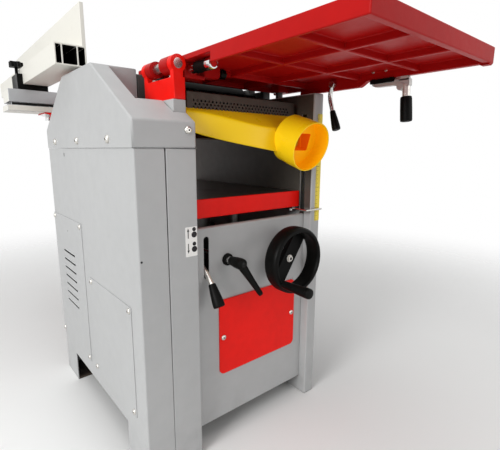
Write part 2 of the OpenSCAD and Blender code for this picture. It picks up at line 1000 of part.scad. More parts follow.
module ring_x(r_out, r_in, x, y, z) {
    difference() {
        rod_x(r_out, x, y, z);
        rod_x(r_in, [x[0] - over, x[1] + over], y, z);
    }
}
module bearings() {
    bush_y = [panel_y - bush_out, panel_y + bush_in];
    color("silver") {
        for (x = [head_xl, head_xr]) {
            mid = x + head_w / 2;
            ring_x(bearing_r, journal_r + run_gap, [mid - bearing_w / 2, mid + bearing_w / 2], 0, cutter_z);
            for (i = [-1, 1])
                ring_x(
                    roller_pin_r + bush_t, roller_pin_r + run_gap, [x, x + head_w],
                    i * roller_gap, roller_z
                );
        }
        difference() {
            rod_y(wheel_shaft_r + bush_t, wheel_x, bush_y, wheel_z);
            rod_y(wheel_shaft_r + run_gap, wheel_x, [bush_y[0] - over, bush_y[1] + over], wheel_z);
        }
    }
}

module table_rests() {
    color("dimgray") for (i = [-1, 1])
        rod_z(rest_r, x_right - column_w / 2, i * rest_y, [column_h, rim_z - clear_gap / 2]);
}

// Dust hood and outlet
module chip_guard() {
    x = [guard_l, guard_r];
    floor_y = [chute_back, guard_floor_end];
    floor_z = [guard_floor_z, guard_floor_z + guard_floor_rise];
    back_z = joint_h + guard_back;
    stub_z = joint_h + stub_rise;
    t = sheet_t;
    color("darkslategray") {
        difference() {
            union() {
                block(x, [guard_y, guard_y + t], [guard_z, guard_z + guard_h]);
                block(x, [guard_y, guard_y + guard_fold], [guard_z + guard_h - t, guard_z + guard_h]);
                block(x, [floor_y[1] - t, floor_y[1]], [floor_z[1], back_z]);
                prism_x([
                    [floor_y[0], floor_z[0]], [floor_y[1], floor_z[1]],
                    [floor_y[1], floor_z[1] + t], [floor_y[0], floor_z[0] + t]
                ], x);
                for (e = [[x[0], x[0] + t], [x[1] - t, x[1]]])
                    prism_x([
                        [floor_y[0], floor_z[0]], [floor_y[1], floor_z[1]], [floor_y[1], back_z],
                        [guard_y, guard_z] + guard_slope, [guard_y + guard_fold, guard_z + guard_h],
                        [guard_y, guard_z + guard_h], [guard_y, guard_z], [floor_y[0], guard_z]
                    ], e);
                rod_x(stub_r, [throat_l, x[0] + t], stub_y, stub_z);
                rod_x(stub_r, [x[1] - t, throat_r], stub_y, stub_z);
            }
            for (row = [0 : hole_rows - 1], i = [0 : floor((guard_w - 2 * hole_edge) / hole_pitch) - 1])
                rod_y(
                    hole_r,
                    x[0] + hole_edge + (i + (row % 2) / 2) * hole_pitch,
                    [guard_y - over, guard_y + t + over],
                    guard_z + hole_low + row * hole_pitch * hole_row_share
                );
        }
    }
}

// The outline of the chute from above, drawn inwards by t; its front curves back to the left end
function chute_line(t) =
    let (out = t > 0 ? over : 0)
    concat(
        [
            [chute_l + t, chute_back + out], [chute_r - t, chute_back + out],
            [chute_r - t, chute_front + t], [neck_l + t, chute_front + t]
        ],
        [for (i = [1 : chute_steps])
            let (u = i / chute_steps)
            let (bow = u * u * (chute_bow + (1 - chute_bow) * u))
            let (back = chute_back - chute_end - chute_front)
            [neck_l + t - (neck_l - chute_l) * u, chute_front + t + back * bow]]
    );
module chute_body(t) {
    x = [chute_l - over, chute_r + over];
    y = [chute_front - over, chute_back + 2 * over];
    top_rise = (guard_z - chute_top_z) / (chute_back - chute_front);
    slope = (chute_low_l - chute_low_r) / (chute_r - chute_l);
    intersection() {
        translate([0, 0, chute_low_r - over])
            linear_extrude(guard_z - chute_low_r + 2 * over) polygon(chute_line(t));
        prism_x([
            [y[0], chute_low_r - over], [y[1], chute_low_r - over],
            [y[1], guard_z - t], [y[0], chute_top_z - t - over * top_rise]
        ], x);
        translate([0, y[1], 0]) rotate([90, 0, 0]) linear_extrude(y[1] - y[0])
            polygon([
                [x[0], chute_low_l + t + slope * over], [x[1], chute_low_r + t - slope * over],
                [x[1], guard_z + over], [x[0], guard_z + over]
            ]);
    }
}
module port_place() {
    translate([port_x, chute_front + port_root, port_z]) rotate([90 + port_tilt, 0, 0]) children();
}
module dust_chute() {
    color("gold") difference() {
        union() {
            chute_body(0);
            port_place() {
                cylinder(r = port_r - port_step, h = port_l + port_root);
                translate([0, 0, port_l + port_root - port_seat]) cylinder(r = port_r, h = port_seat);
            }
        }
        difference() {
            chute_body(port_t);
            block(
                [chute_l, chute_r], [chute_back - port_t, chute_back + 2 * over],
                [chute_low_r - over, guard_floor_z + sheet_t]
            );
        }
        port_place() translate([0, 0, port_root + port_t]) cylinder(r = port_r - port_t, h = port_l + over);
        port_place() translate([-mouth[0] / 2, -mouth[1] / 2, -mouth[2] / 2]) cube(mouth);
    }
}

// Drive
module motor() {
    x = [throat_l + motor_in, throat_l + motor_in + motor_l];
    flat = motor_r * motor_flat;
    color("steelblue") difference() {
        union() {
            rod_x(motor_r, x, motor_y, motor_z);
            block(
                [x[0] + motor_foot_in, x[1] - motor_foot_in], [motor_y - flat, motor_y + flat],
                [foot_gap_h + pan_t, motor_z - flat]
            );
            block(
                [x[0] + motor_box_in, x[1] - motor_box_in], [motor_y - flat, motor_y + flat],
                [motor_z + flat, motor_z + motor_r + motor_box_h]
            );
        }
        rod_x(motor_shaft_r + run_gap, [x[0] - over, x[0] + motor_bore_l], motor_y, motor_z);
    }
}

module drive_belt() {
    color("black")
        band(
            [motor_y, motor_z], motor_pulley_r + clear_gap, [0, cutter_z], pulley_r + clear_gap,
            belt_t, [pulley_x - belt_w / 2, pulley_x + belt_w / 2]
        );
}

module feed_chain() {
    color("dimgray")
        band(
            [-roller_gap, roller_z], sprocket_r + clear_gap, [roller_gap, roller_z], sprocket_r + clear_gap,
            chain_t, [sprocket_x, sprocket_x + sprocket_w]
        );
}

gearbox_w = 40;
gearbox_half = 50;
gearbox_low = 45;
gearbox_high = 70;
gearbox_wall = 10;
module feed_gearbox() {
    x = [throat_l - frame_t - gearbox_w, throat_l - frame_t];
    color("gray") difference() {
        block(
            x, [pivot_y - gearbox_half, pivot_y + gearbox_half],
            [pivot_z - gearbox_low, pivot_z + gearbox_high]
        );
        rod_x(pivot_r + run_gap, [x[0] + gearbox_wall, x[1] + over], pivot_y, pivot_z);
    }
}

knife_t = 3;
gib_gap = 0.2;
slot_w = 14;
slot_d = 18;
knife_under = 0.8;
gib_under = 5;
journal_step = 4;
journal_end = 6;
body_under = 1.5;
cutter_x = [throat_c - cutter_l / 2, throat_c + cutter_l / 2];
module on_cutter() {
    for (i = [0 : knife_count - 1])
        translate([0, 0, cutter_z]) rotate([i * 360 / knife_count, 0, 0]) children();
}
module cutter_block() {
    step_r = journal_r + journal_step;
    color("silver") difference() {
        union() {
            rod_x(cutter_r - body_under, cutter_x, 0, cutter_z);
            rod_x(step_r, [head_xl + head_w + over, head_xr - over], 0, cutter_z);
            rod_x(journal_r, [pulley_x - belt_w / 2 - journal_end, head_xr + head_w - over], 0, cutter_z);
        }
        on_cutter()
            block(
                [cutter_x[0] - over, cutter_x[1] + over], [-slot_w / 2, slot_w / 2],
                [cutter_r - slot_d, cutter_r + over]
            );
    }
}
module planer_knives() {
    color("whitesmoke") on_cutter()
        block(
            cutter_x, [-slot_w / 2, -slot_w / 2 + knife_t], [cutter_r - slot_d, cutter_r - knife_under]
        );
}
module knife_gibs() {
    color("gray") on_cutter()
        block(
            [cutter_x[0] + over, cutter_x[1] - over], [-slot_w / 2 + knife_t, slot_w / 2 - gib_gap],
            [cutter_r - slot_d, cutter_r - gib_under]
        );
}
module cutter_pulley() {
    x = [pulley_x - belt_w / 2 - pulley_rim, pulley_x + belt_w / 2 + pulley_rim];
    color("gray") difference() {
        rod_x(pulley_r, x, 0, cutter_z);
        rod_x(journal_r, [x[0] - over, x[1] + over], 0, cutter_z);
    }
}
module motor_pulley() {
    x = [pulley_x - belt_w / 2 - pulley_rim, pulley_x + belt_w / 2 + pulley_rim];
    color("gray") {
        rod_x(motor_pulley_r, x, motor_y, motor_z);
        rod_x(motor_shaft_r, [x[1], throat_l + motor_in + motor_bore_l - motor_bore_end], motor_y, motor_z);
    }
}

module feed_roller(side, teeth) {
    x = [cutter_x[0] + roller_side, cutter_x[1] - roller_side];
    y = side * roller_gap;
    rod_x(roller_pin_r, [sprocket_x - roller_pin_end, head_xr + head_w], y, roller_z);
    difference() {
        rod_x(roller_r, x, y, roller_z);
        rod_x(roller_pin_r, [x[0] - over, x[1] + over], y, roller_z);
        for (i = [0 : teeth - 1])
            translate([x[0] - over, y, roller_z]) rotate([i * 360 / max(teeth, 1), 0, 0])
                translate([0, -groove_w / 2, roller_r - groove_d])
                cube([x[1] - x[0] + 2 * over, groove_w, 2 * groove_d]);
    }
    difference() {
        rod_x(sprocket_r, [sprocket_x, sprocket_x + sprocket_w], y, roller_z);
        rod_x(roller_pin_r, [sprocket_x - over, sprocket_x + sprocket_w + over], y, roller_z);
    }
}
module front_roller() {
    color("dimgray") feed_roller(-1, groove_count);
}
module rear_roller() {
    color("dimgray") feed_roller(1, 0);
}

module kickback_fingers() {
    first = throat_c - finger_pitch * (finger_count - 1) / 2;
    color("dimgray") for (i = [0 : finger_count - 1]) {
        x = [first + i * finger_pitch - finger_t / 2, first + i * finger_pitch + finger_t / 2];
        difference() {
            union() {
                rod_x(finger_w / 2 + finger_wall, x, finger_y, finger_z);
                prism_x([
                    [finger_y - finger_w / 2, finger_z],
                    [finger_y + finger_w / 2, finger_z],
                    [finger_y + finger_w / 2, finger_z - finger_l],
                    [finger_y - finger_point, finger_z - finger_l]
                ], x);
            }
            rod_x(finger_rod_r + run_gap, [x[0] - over, x[1] + over], finger_y, finger_z);
        }
    }
}

// Thicknesser table and its lift
module thicknesser_table() {
    x = [throat_l + bed_gap, throat_r - bed_gap];
    color("firebrick") difference() {
        block(x, [bed_y, -bed_y], [bed_low, bed_top]);
        difference() {
            block(
                [x[0] + bed_t, x[1] - bed_t], [bed_y + bed_t, -bed_y - bed_t],
                [bed_low - over, bed_under]
            );
            for (y = [-bed_rib_y, bed_rib_y])
                block(x, [y - bed_rib_half, y + bed_rib_half], [bed_low, bed_under + over]);
        }
    }
}
module guide_post() {
    color("silver") difference() {
        rod_z(post_r, throat_c, 0, [post_low, bed_under]);
        rod_z(post_r - post_t, throat_c, 0, [post_low - over, bed_under - post_cap]);
    }
}
module lift_screw() {
    color("silver") rod_z(screw_rod_r, wheel_x, screw_y, [screw_low, bed_under]);
}
module depth_pointer() {
    x = throat_r - bed_gap - pointer_in;
    rod_at = x - pointer_shift;
    z = bed_low - pointer_r - pointer_gap;
    start_y = bed_y + pointer_step;
    tip_y = y_front - scale_t - clear_gap - pointer_r - over;
    color("silver") {
        block(
            [x - pointer_pad_half, x + pointer_pad_half], [start_y, start_y + pointer_pad_l],
            [bed_low - pointer_pad_t, bed_low]
        );
        bar([rod_at, start_y, z], [rod_at, tip_y, z], pointer_r);
        translate([rod_at, tip_y, z]) sphere(pointer_r);
        bar([rod_at, tip_y, z], [x_right + over, tip_y, z], pointer_r);
        rod_z(
            pointer_bolt_r, rod_at, start_y + pointer_pad_l / 2,
            [bed_low - 2 * pointer_pad_t, bed_low - pointer_pad_t]
        );
    }
}

module lift_bridge() {
    boss_x = [lock_x - boss_side, throat_c - sleeve_r + boss_side];
    color("slategray") difference() {
        union() {
            block([throat_l, throat_r], bridge_y, [bridge_z, bridge_z + bridge_t]);
            rod_z(sleeve_r, throat_c, 0, [sleeve_low, sleeve_top]);
            block(boss_x, [-boss_half, boss_half], [lock_z - boss_rise, lock_z + boss_rise]);
        }
        rod_z(post_r + run_gap, throat_c, 0, [sleeve_low - over, sleeve_top + over]);
        rod_z(screw_rod_r + screw_room, wheel_x, screw_y, [bridge_z - over, bridge_z + bridge_t + over]);
        rod_y(stud_r + run_gap, lock_x, [-boss_half - over, -stud_bore_end], lock_z);
    }
}
module gear_bracket() {
    low = bridge_z + bridge_t;
    x = [wheel_x - gear_base, wheel_x + gear_base];
    post_y = [bearing_y - bearing_half, bearing_y + bearing_half];
    color("slategray") difference() {
        union() {
            block(x, [post_y[0], screw_y + gear_base], [low, low + gear_base_t]);
            block(x, [screw_y - gear_base, screw_y + gear_base], [low, seat_z]);
            block([wheel_x - bearing_side, wheel_x + bearing_side], post_y, [low, wheel_z + bearing_up]);
        }
        rod_z(hub_r + run_gap, wheel_x, screw_y, [seat_z - hub_l - over, seat_z + over]);
        rod_z(screw_rod_r + screw_room, wheel_x, screw_y, [low - over, seat_z + over]);
        rod_y(wheel_shaft_r + run_gap, wheel_x, [post_y[0] - over, post_y[1] + over], wheel_z);
    }
}
module bevel_gear() {
    color("goldenrod") difference() {
        union() {
            translate([wheel_x, screw_y, seat_z + clear_gap])
                cylinder(r1 = bevel_r - clear_gap, r2 = bevel_r - gear_h - clear_gap, h = gear_h);
            rod_z(hub_r, wheel_x, screw_y, [seat_z - hub_l, seat_z + seat_gap]);
        }
        rod_z(screw_rod_r + run_gap, wheel_x, screw_y, [seat_z - hub_l - over, seat_z + gear_h + 2 * over]);
    }
}
module handwheel_shaft() {
    pinion_y = screw_y - bevel_r;
    pinion_end = 4;
    color("silver") rod_y(wheel_shaft_r, wheel_x, [wheel_back - hub_h, pinion_y + pinion_end], wheel_z);
    color("goldenrod") difference() {
        translate([wheel_x, pinion_y - clear_gap, wheel_z]) rotate([-90, 0, 0])
            cylinder(r1 = bevel_r - over, r2 = bevel_r - gear_h - over, h = gear_h - pinion_end);
        rod_y(wheel_shaft_r, wheel_x, [pinion_y - over, pinion_y + pinion_end], wheel_z);
    }
}
// A cross-section with round corners, from [x0, y0] with size w by h
function soft_box(x0, y0, w, h, r) = [
    for (c = [[w - r, h - r, 0], [r, h - r, 90], [r, r, 180], [w - r, r, 270]], i = [0 : rim_steps])
        [x0 + c[0], y0 + c[1]] + r * unit(c[2] + i * 90 / rim_steps)
];
module handwheel() {
    spoke_l = wheel_r - rim_w / 2;
    color("black") {
        translate([wheel_x, wheel_back, wheel_z]) rotate([90, 0, 0]) {
            rotate_extrude() polygon(soft_box(wheel_r - rim_w, 0, rim_w, rim_depth, rim_round));
            difference() {
                union() {
                    rotate([0, 0, spoke_turn]) translate([-spoke_l, -spoke_w / 2, spoke_in])
                        cube([2 * spoke_l, spoke_w, spoke_t]);
                    cylinder(r = wheel_shaft_r + hub_wall, h = hub_h);
                }
                translate([0, 0, -over]) cylinder(r = wheel_shaft_r, h = hub_h + 2 * over);
            }
        }
        rod_y(
            crank_pin_r, crank_x,
            [wheel_back - rim_depth - crank_l + crank_cap + over, wheel_back - rim_depth + crank_cap],
            crank_z
        );
    }
}
module crank_handle() {
    front = wheel_back - rim_depth - clear_gap;
    color("black") difference() {
        translate([crank_x, front, crank_z]) rotate([90, 0, 0])
            rotate_extrude() polygon([
                [0, 0], [crank_r * crank_neck, 0], [crank_r * crank_waist[0], crank_l * crank_waist[1]],
                [crank_r, crank_l * crank_full], [crank_r, crank_l - crank_round[1]],
                [crank_r - crank_round[0], crank_l], [0, crank_l]
            ]);
        rod_y(crank_pin_r + run_gap, crank_x, [front - crank_l + crank_cap, front + over], crank_z);
    }
}

// Controls on the front panel
module lock_lever() {
    hub_y = [y_front - lock_out, y_front - lock_out + lock_hub_l];
    foot = [lock_x, hub_y[0] + lock_neck_r, lock_z];
    tip = foot + lock_arm * [cos(lock_turn), -sin(lock_lean), sin(lock_turn)];
    color("black") {
        rod_y(stud_r, lock_x, [hub_y[1], -stud_end], lock_z);
        rod_y(lock_collar_r, lock_x, [panel_y - lock_collar_l, panel_y - clear_gap], lock_z);
        rod_y(lock_hub_r, lock_x, hub_y, lock_z);
        bar(foot, tip, lock_neck_r, lock_tip_r);
        translate(tip) sphere(lock_tip_r);
    }
}
module feed_lever() {
    at = function (p) [lever_x, p[0], p[1]];
    color("silver") {
        rod_x(pivot_r, [throat_l - frame_t - gearbox_w + pivot_seat, lever_x + pivot_over], pivot_y, pivot_z);
        bar(at([pivot_y - pivot_r + over, pivot_z]), at(lever_exit), lever_r);
        translate(at(lever_exit)) sphere(lever_r + bend_over);
        bar(at(lever_exit), at(lever_neck), lever_r);
    }
}
module feed_grip() {
    at = function (p) [lever_x, p[0], p[1]];
    color("black") difference() {
        grip_along(at(lever_neck), at(lever_end), feed_grip_r[0], feed_grip_r[1]);
        bar(at(lever_exit), at(lever_neck), lever_r);
    }
}

// Planing tables
module table_body(levers) {
    y = [-table_reach, -lip_gap];
    rib_z = [plate_z - rib_d, plate_z + over];
    lugs = [[lug_a_y, lug_a_y + lug_a_l], [lug_b_y, lug_b_y + lug_b_l]];
    swing_first = swing_y - swing_lug_t - swing_side;
    swing_last = swing_y - swing_l + 2 * swing_lug_t + swing_side;
    swing_lugs = [swing_first, swing_last];
    latch_bore = [lug_a_y - over, lug_a_y + latch_pin_l + latch_room];
    difference() {
        union() {
            block([table_l, table_r], y, [plate_z, table_top]);
            block([table_r - rim_t, table_r], [y[0], -head_half - head_room], [rim_z, table_top]);
            block([table_l, table_r], [y[0], y[0] + rim_t], [rim_z, table_top]);
            block([table_l, table_l + rim_t / 2], [y[0], lug_a_y - rim_stop], [rim_z, table_top]);
            for (b = rib_y) block([table_l, table_r - over], [b - rib_t / 2, b + rib_t / 2], rib_z);
            for (b = rib_x) block([b - rib_t / 2, b + rib_t / 2], [y[0] + over, rib_y[0]], rib_z);
            block([table_r - rim_t, table_r], [flange_y0, flange_y1], [flange_z, rim_z + over]);
            block(
                [x_right - column_w, table_r - over], [-rest_y - pad_half, -rest_y + pad_half],
                [rim_z, plate_z + over]
            );
            for (l = lugs) {
                rod_y(eye_r, hinge_x, l, hinge_z);
                block([hinge_x, table_l + over], l, [hinge_z - lug_half, plate_z + lug_up]);
                block([table_l - over, hinge_x + lug_reach], l, [hinge_z - lug_half, plate_z + over]);
            }
            block([table_l + lug_in, hinge_x + lug_reach], lugs[0], [lug_z, plate_z]);
            if (levers) for (s = swing_lugs)
                block(
                    [swing_x - swing_lug, swing_x + swing_lug], [s, s + swing_lug_t],
                    [swing_z - swing_lug, rim_z + over]
                );
        }
        for (l = lugs)
            rod_y(hinge_r + run_gap, hinge_x, [l[0] - over, l[1] + over], hinge_z);
        rod_x(bent_pin_r + run_gap, [table_r - rim_t - over, table_r + over], bent_y, bent_z);
        if (levers) {
            rod_y(swing_rod_r + run_gap, swing_x, [swing_y - swing_l, swing_y + over], swing_z);
            rod_y(latch_pin_r + run_gap, latch_x, latch_bore, latch_z);
        }
    }
}
module outfeed_table() {
    color("firebrick") table_body(true);
}
module infeed_table() {
    color("firebrick") mirror([0, 1, 0]) table_body(false);
}

module bent_rod() {
    at = function (p) [bent_x, p[0], p[1]];
    rod_x(bent_hub_r, [bent_x - bent_rod_r, table_r - rim_t - clear_gap], bent_y, bent_z);
    rod_x(bent_pin_r, [bent_x, table_r - bent_pin_in], bent_y, bent_z);
    for (i = [0 : 1]) bar(at(bent_path[i]), at(bent_path[i + 1]), bent_rod_r);
    translate(at(bent_path[1])) sphere(bent_rod_r + bend_over);
}
module bent_grip() {
    at = function (p) [bent_x, p[0], p[1]];
    grip_along(at(bent_path[2]), at(bent_path[3]), bent_grip_r[0], bent_grip_r[1]);
}
module outfeed_clamp_rod() {
    color("silver") bent_rod();
}
module outfeed_clamp_grip() {
    color("black") bent_grip();
}
module infeed_clamp_lever() {
    color("silver") mirror([0, 1, 0]) bent_rod();
    color("black") mirror([0, 1, 0]) bent_grip();
}

swing_end = swing_y - swing_l;
swing_neck = swing_z - swing_drop;
module swing_lever() {
    color("silver") {
        rod_y(swing_rod_r, swing_x, [swing_end, swing_y], swing_z);
        translate([swing_x, swing_end, swing_z]) sphere(swing_rod_r + bend_over);
        bar([swing_x, swing_end, swing_z], [swing_x, swing_end - swing_lean, swing_neck], swing_rod_r);
    }
}
module swing_grip() {
    color("black")
        grip_along(
            [swing_x, swing_end - swing_lean, swing_neck],
            [swing_x, swing_end - 2 * swing_lean, swing_neck - swing_grip_l],
            swing_grip_r[0], swing_grip_r[1]
        );
}
module latch_handle() {
    front = lug_a_y - clear_gap;
    color("black") {
        rod_y(latch_pin_r, latch_x, [front - over, lug_a_y + latch_pin_l], latch_z);
        rod_y(latch_r, latch_x, [front - latch_l, front], latch_z);
    }
}

// Fence
module fence_bracket() {
    x = [x_left + arm_in, throat_l - arm_side];
    low_x = [seam_x + arm_gap, throat_l - arm_side];
    y = [rail_y, rail_y + rail_l];
    top = rail_z - rail_under;
    root = [joint_h - arm_h, joint_h];
    color("firebrick") {
        block(low_x, [y_back, y_back + arm_t], root);
        prism_x([
            [y_back + arm_t, root[0]], [y_back + arm_t, root[1]], [y[0], top],
            [y[1], top], [y[1], top - arm_lip], [y[0] + arm_foot[0], top - arm_foot[1]]
        ], low_x);
        block([x[0], low_x[0]], y, [top - arm_lip, top]);
        rod_z(
            arm_bolt_r, x[0] + arm_bolt_at[0], y[0] + arm_bolt_at[1],
            [top - arm_lip - arm_bolt_l, top - arm_lip]
        );
    }
}
module fence_rail() {
    y = [rail_y, rail_y + rail_l];
    color("gainsboro") {
        block([rail_x0 - rail_cap, rail_x1], y, [rail_z - rail_under, rail_z - rail_groove]);
        block(
            [rail_x0 + groove_in, rail_x1], [y[0] + groove_in, y[1] - groove_in],
            [rail_z - rail_groove, rail_z]
        );
        block([rail_x0, rail_x1], y, [rail_z, rail_z + rail_t]);
    }
}
foot_x = [fence_x + foot_side, fence_x + beam_w - foot_side];
module fence_foot() {
    y = [rail_y + foot_in, rail_y + rail_l - foot_in];
    low = rail_z + rail_t + clear_gap / 2;
    foot_top = fence_z - clear_gap / 2;
    color("black") difference() {
        union() {
            block(foot_x, y, [low, foot_top]);
            block([fence_x - clamp_w, fence_x - clear_gap], y, [low, fence_z + clamp_h]);
            block([fence_x - clamp_w, foot_x[0] + over], y, [low, foot_top]);
        }
        rod_z(
            knob_stem_r + run_gap, fence_x - clamp_w / 2, rail_y + rail_l / 2,
            [fence_z + clamp_h - knob_stem_l - over, fence_z + clamp_h + over]
        );
    }
}
module fence_knob() {
    x = fence_x - clamp_w / 2;
    y = rail_y + rail_l / 2;
    low = fence_z + clamp_h;
    color("black") {
        rod_z(knob_stem_r, x, y, [low - knob_stem_l, low + knob_lift + over]);
        translate([x, y, low + knob_lift]) {
            cylinder(r = knob_r, h = knob_h);
            for (i = [1 : knob_lobes])
                rotate([0, 0, i * 360 / knob_lobes]) translate([knob_r, 0, 0])
                    cylinder(r = knob_lobe_r, h = knob_h);
        }
    }
}
module fence_beam() {
    cells = [0.2, 0.54, 0.26];
    inner = beam_w - beam_t * beam_walls;
    starts = [0, inner * cells[0] + beam_t, inner * (cells[0] + cells[1]) + 2 * beam_t];
    color("beige") difference() {
        union() {
            block([fence_x, fence_x + beam_w], [fence_y, fence_y + fence_l], [fence_z, fence_z + beam_h]);
            block(
                [fence_x + beam_w - face_t, fence_x + beam_w], [fence_y, fence_y + fence_l],
                [fence_z, fence_z + face_h]
            );
        }
        for (i = [0 : 2])
            block(
                [fence_x + beam_t + starts[i], fence_x + beam_t + starts[i] + inner * cells[i]],
                [fence_y - over, fence_y + fence_l + over],
                [fence_z + beam_t, fence_z + beam_h - beam_t]
            );
    }
}

// Switch box on the operator side
module switch_box() {
    x = [x_right, x_right + box_d];
    y = [box_y - box_w / 2, box_y + box_w / 2];
    z = [box_z - box_h / 2, box_z + box_h / 2];
    color("dimgray") difference() {
        union() {
            block(x, y, z);
            rod_z(gland_r, x[0] + box_d / 2, box_y, [z[0] - gland_l, z[0]]);
        }
        block([x[0] + box_t, x[1] - box_t], [y[0] + box_t, y[1] - box_t], [z[0] + box_t, z[1] - box_t]);
        for (i = [-1, 1])
            rod_x(button_r + clear_gap, [x[1] - box_t - over, x[1] + over], box_y, box_z + i * button_gap);
    }
}
module button(i) {
    face = x_right + box_d;
    rod_x(button_r, [face - button_in, face + button_out], box_y, box_z + i * button_gap);
}
module start_button() {
    color("green") button(1);
}
module stop_button() {
    color("red") button(-1);
}

base_pan();
floor_feet();
left_frame();
right_frame();
drive_cabinet();
drive_cover();
front_panel();
rear_panel();
inspection_plate();
side_panels();
depth_scale();
case_screws();
hinge_brackets();
fixed_shafts();
head_blocks();
bearings();
table_rests();
chip_guard();
dust_chute();
motor();
drive_belt();
feed_chain();
feed_gearbox();
lift_bridge();
gear_bracket();
switch_box();
start_button();
stop_button();
cutter_block();
planer_knives();
knife_gibs();
cutter_pulley();
motor_pulley();
front_roller();
rear_roller();
kickback_fingers();
thicknesser_table();
guide_post();
lift_screw();
depth_pointer();
bevel_gear();
handwheel();
handwheel_shaft();
crank_handle();
lock_lever();
feed_lever();
feed_grip();
outfeed_table();
infeed_table();
outfeed_clamp_rod();
outfeed_clamp_grip();
swing_lever();
swing_grip();
infeed_clamp_lever();
latch_handle();
fence_bracket();
fence_rail();
fence_foot();
fence_knob();
fence_beam();
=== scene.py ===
"""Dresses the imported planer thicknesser: sheet metal, castings, levers, dust outlet, fence and stage."""

import json
import math

import bmesh
import bpy
from bpy.props import FloatProperty, FloatVectorProperty, IntProperty, PointerProperty
from bpy.types import Operator, Panel, PropertyGroup
from mathutils import Matrix, Vector

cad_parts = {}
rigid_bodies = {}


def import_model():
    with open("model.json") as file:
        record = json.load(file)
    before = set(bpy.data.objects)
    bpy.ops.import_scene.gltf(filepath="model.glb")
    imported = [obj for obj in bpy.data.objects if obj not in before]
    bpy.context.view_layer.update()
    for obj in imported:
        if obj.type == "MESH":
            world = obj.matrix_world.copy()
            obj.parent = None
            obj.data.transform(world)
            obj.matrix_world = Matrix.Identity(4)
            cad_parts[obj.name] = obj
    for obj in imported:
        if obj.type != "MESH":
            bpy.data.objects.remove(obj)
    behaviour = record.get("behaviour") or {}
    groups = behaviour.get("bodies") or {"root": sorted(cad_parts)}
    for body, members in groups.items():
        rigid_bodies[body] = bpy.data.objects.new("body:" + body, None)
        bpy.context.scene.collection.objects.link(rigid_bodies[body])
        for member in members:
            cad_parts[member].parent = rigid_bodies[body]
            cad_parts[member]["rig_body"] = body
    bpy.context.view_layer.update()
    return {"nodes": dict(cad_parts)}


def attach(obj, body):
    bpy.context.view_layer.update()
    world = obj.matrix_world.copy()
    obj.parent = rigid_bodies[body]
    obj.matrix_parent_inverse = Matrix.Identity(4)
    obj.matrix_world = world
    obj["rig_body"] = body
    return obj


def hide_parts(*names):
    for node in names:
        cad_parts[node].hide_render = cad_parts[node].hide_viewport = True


bl_info = {
    "name": "Planer thicknesser",
    "version": (1, 0, 0),
    "blender": (4, 5, 0),
    "location": "View3D > Sidebar > Planer",
    "description": "Builds the visible pieces of a planer thicknesser on its packed frame",
    "category": "Object",
}

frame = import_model()
MM = 0.001
SHARP = math.radians(28)


def lin(red, green, blue):
    """Scene-linear colour of a display colour given from 0 to 255."""
    shares = [c / 255 for c in (red, green, blue)]
    return tuple(c / 12.92 if c <= 0.04045 else ((c + 0.055) / 1.055) ** 2.4 for c in shares)


def tone(name, description, *display):
    return FloatVectorProperty(
        name=name, description=description, default=lin(*display), subtype="COLOR", min=0, max=1
    )


def length(name, description, mm):
    return FloatProperty(name=name, description=description, default=mm * MM, unit="LENGTH", min=0)


def power(name, description, watts):
    return FloatProperty(name=name, description=description, default=watts, unit="POWER", min=0)


class PlanerColours(PropertyGroup):
    """Colours of the paints, plastics and metals"""

    grey: tone("Grey paint", "Powder coat of the stand and the drive cover", 177, 178, 178)
    red: tone("Red paint", "Paint of the inspection plate and the hinge brackets", 240, 22, 12)
    # Partly painted shade: the cast tables' red paint, taken darker than the red paint for the shade under
    # the tables.
    casting: tone("Red casting", "Paint of the cast tables", 172, 12, 11)
    ground: tone("Ground iron", "Machined top of the planing tables", 176, 178, 180)
    # Painted shade: the bed is the same ground iron as the planing tops, taken dark for its shade in the
    # throat.
    bed: tone("Bed iron", "Machined top of the thicknesser table", 74, 72, 69)
    dark: tone("Dark sheet", "Chip guard and unpainted inner sheet", 62, 51, 42)
    yellow: tone("Yellow plastic", "Outside of the dust outlet", 255, 212, 20)
    # Painted shade: the port's inside is the same yellow plastic; this orange stands in for its shade and
    # bounced light.
    orange: tone("Inner yellow", "Inside of the dust port", 250, 186, 4)
    black: tone("Black plastic", "Grips, handwheel and levers", 13, 13, 12)
    cream: tone("Cream anodised", "Fence beam and end caps", 222, 220, 211)
    silver: tone("Silver extrusion", "Fence rail", 176, 178, 180)
    strip: tone("Scale yellow", "Depth scale", 240, 216, 66)
    steel: tone("Bright steel", "Shafts, rods and screws", 198, 197, 194)
    iron: tone("Cast iron", "Bearing blocks and lift", 86, 85, 83)


class PlanerSizes(PropertyGroup):
    """Edge roundings and detail of the pieces"""

    fold: length("Sheet fold", "Radius of the folds of the stand and the cover", 3.0)
    casting_edge: length("Casting edge", "Radius of the edges of castings", 2.0)
    fine_edge: length("Fine edge", "Radius of machined and stamped edges", 0.8)
    turned: IntProperty(name="Turned steps", description="Steps round a turned piece", default=56, min=12)


class PlanerStage(PropertyGroup):
    """Camera and light"""

    lens: FloatProperty(name="Lens", description="Focal length in mm", default=27.53, unit="CAMERA", min=1)
    ambient: FloatProperty(name="Ambient", description="Strength of the sky", default=0.36, min=0)
    key: power("Key light", "Power of the lamp on the drive side", 70)
    fill: power("Fill light", "Power of the lamp in front", 11)
    top: power("Top light", "Power of the lamp above", 40)


def sizes():
    return bpy.context.scene.planer_sizes


def sign(operation, turned=False):
    """A Sock's method for a sign of arithmetic; turned where the Sock stands on its right."""

    def method(self, other):
        pair = (other, self) if turned else (self, other)
        return self.math(operation, *pair)

    return method


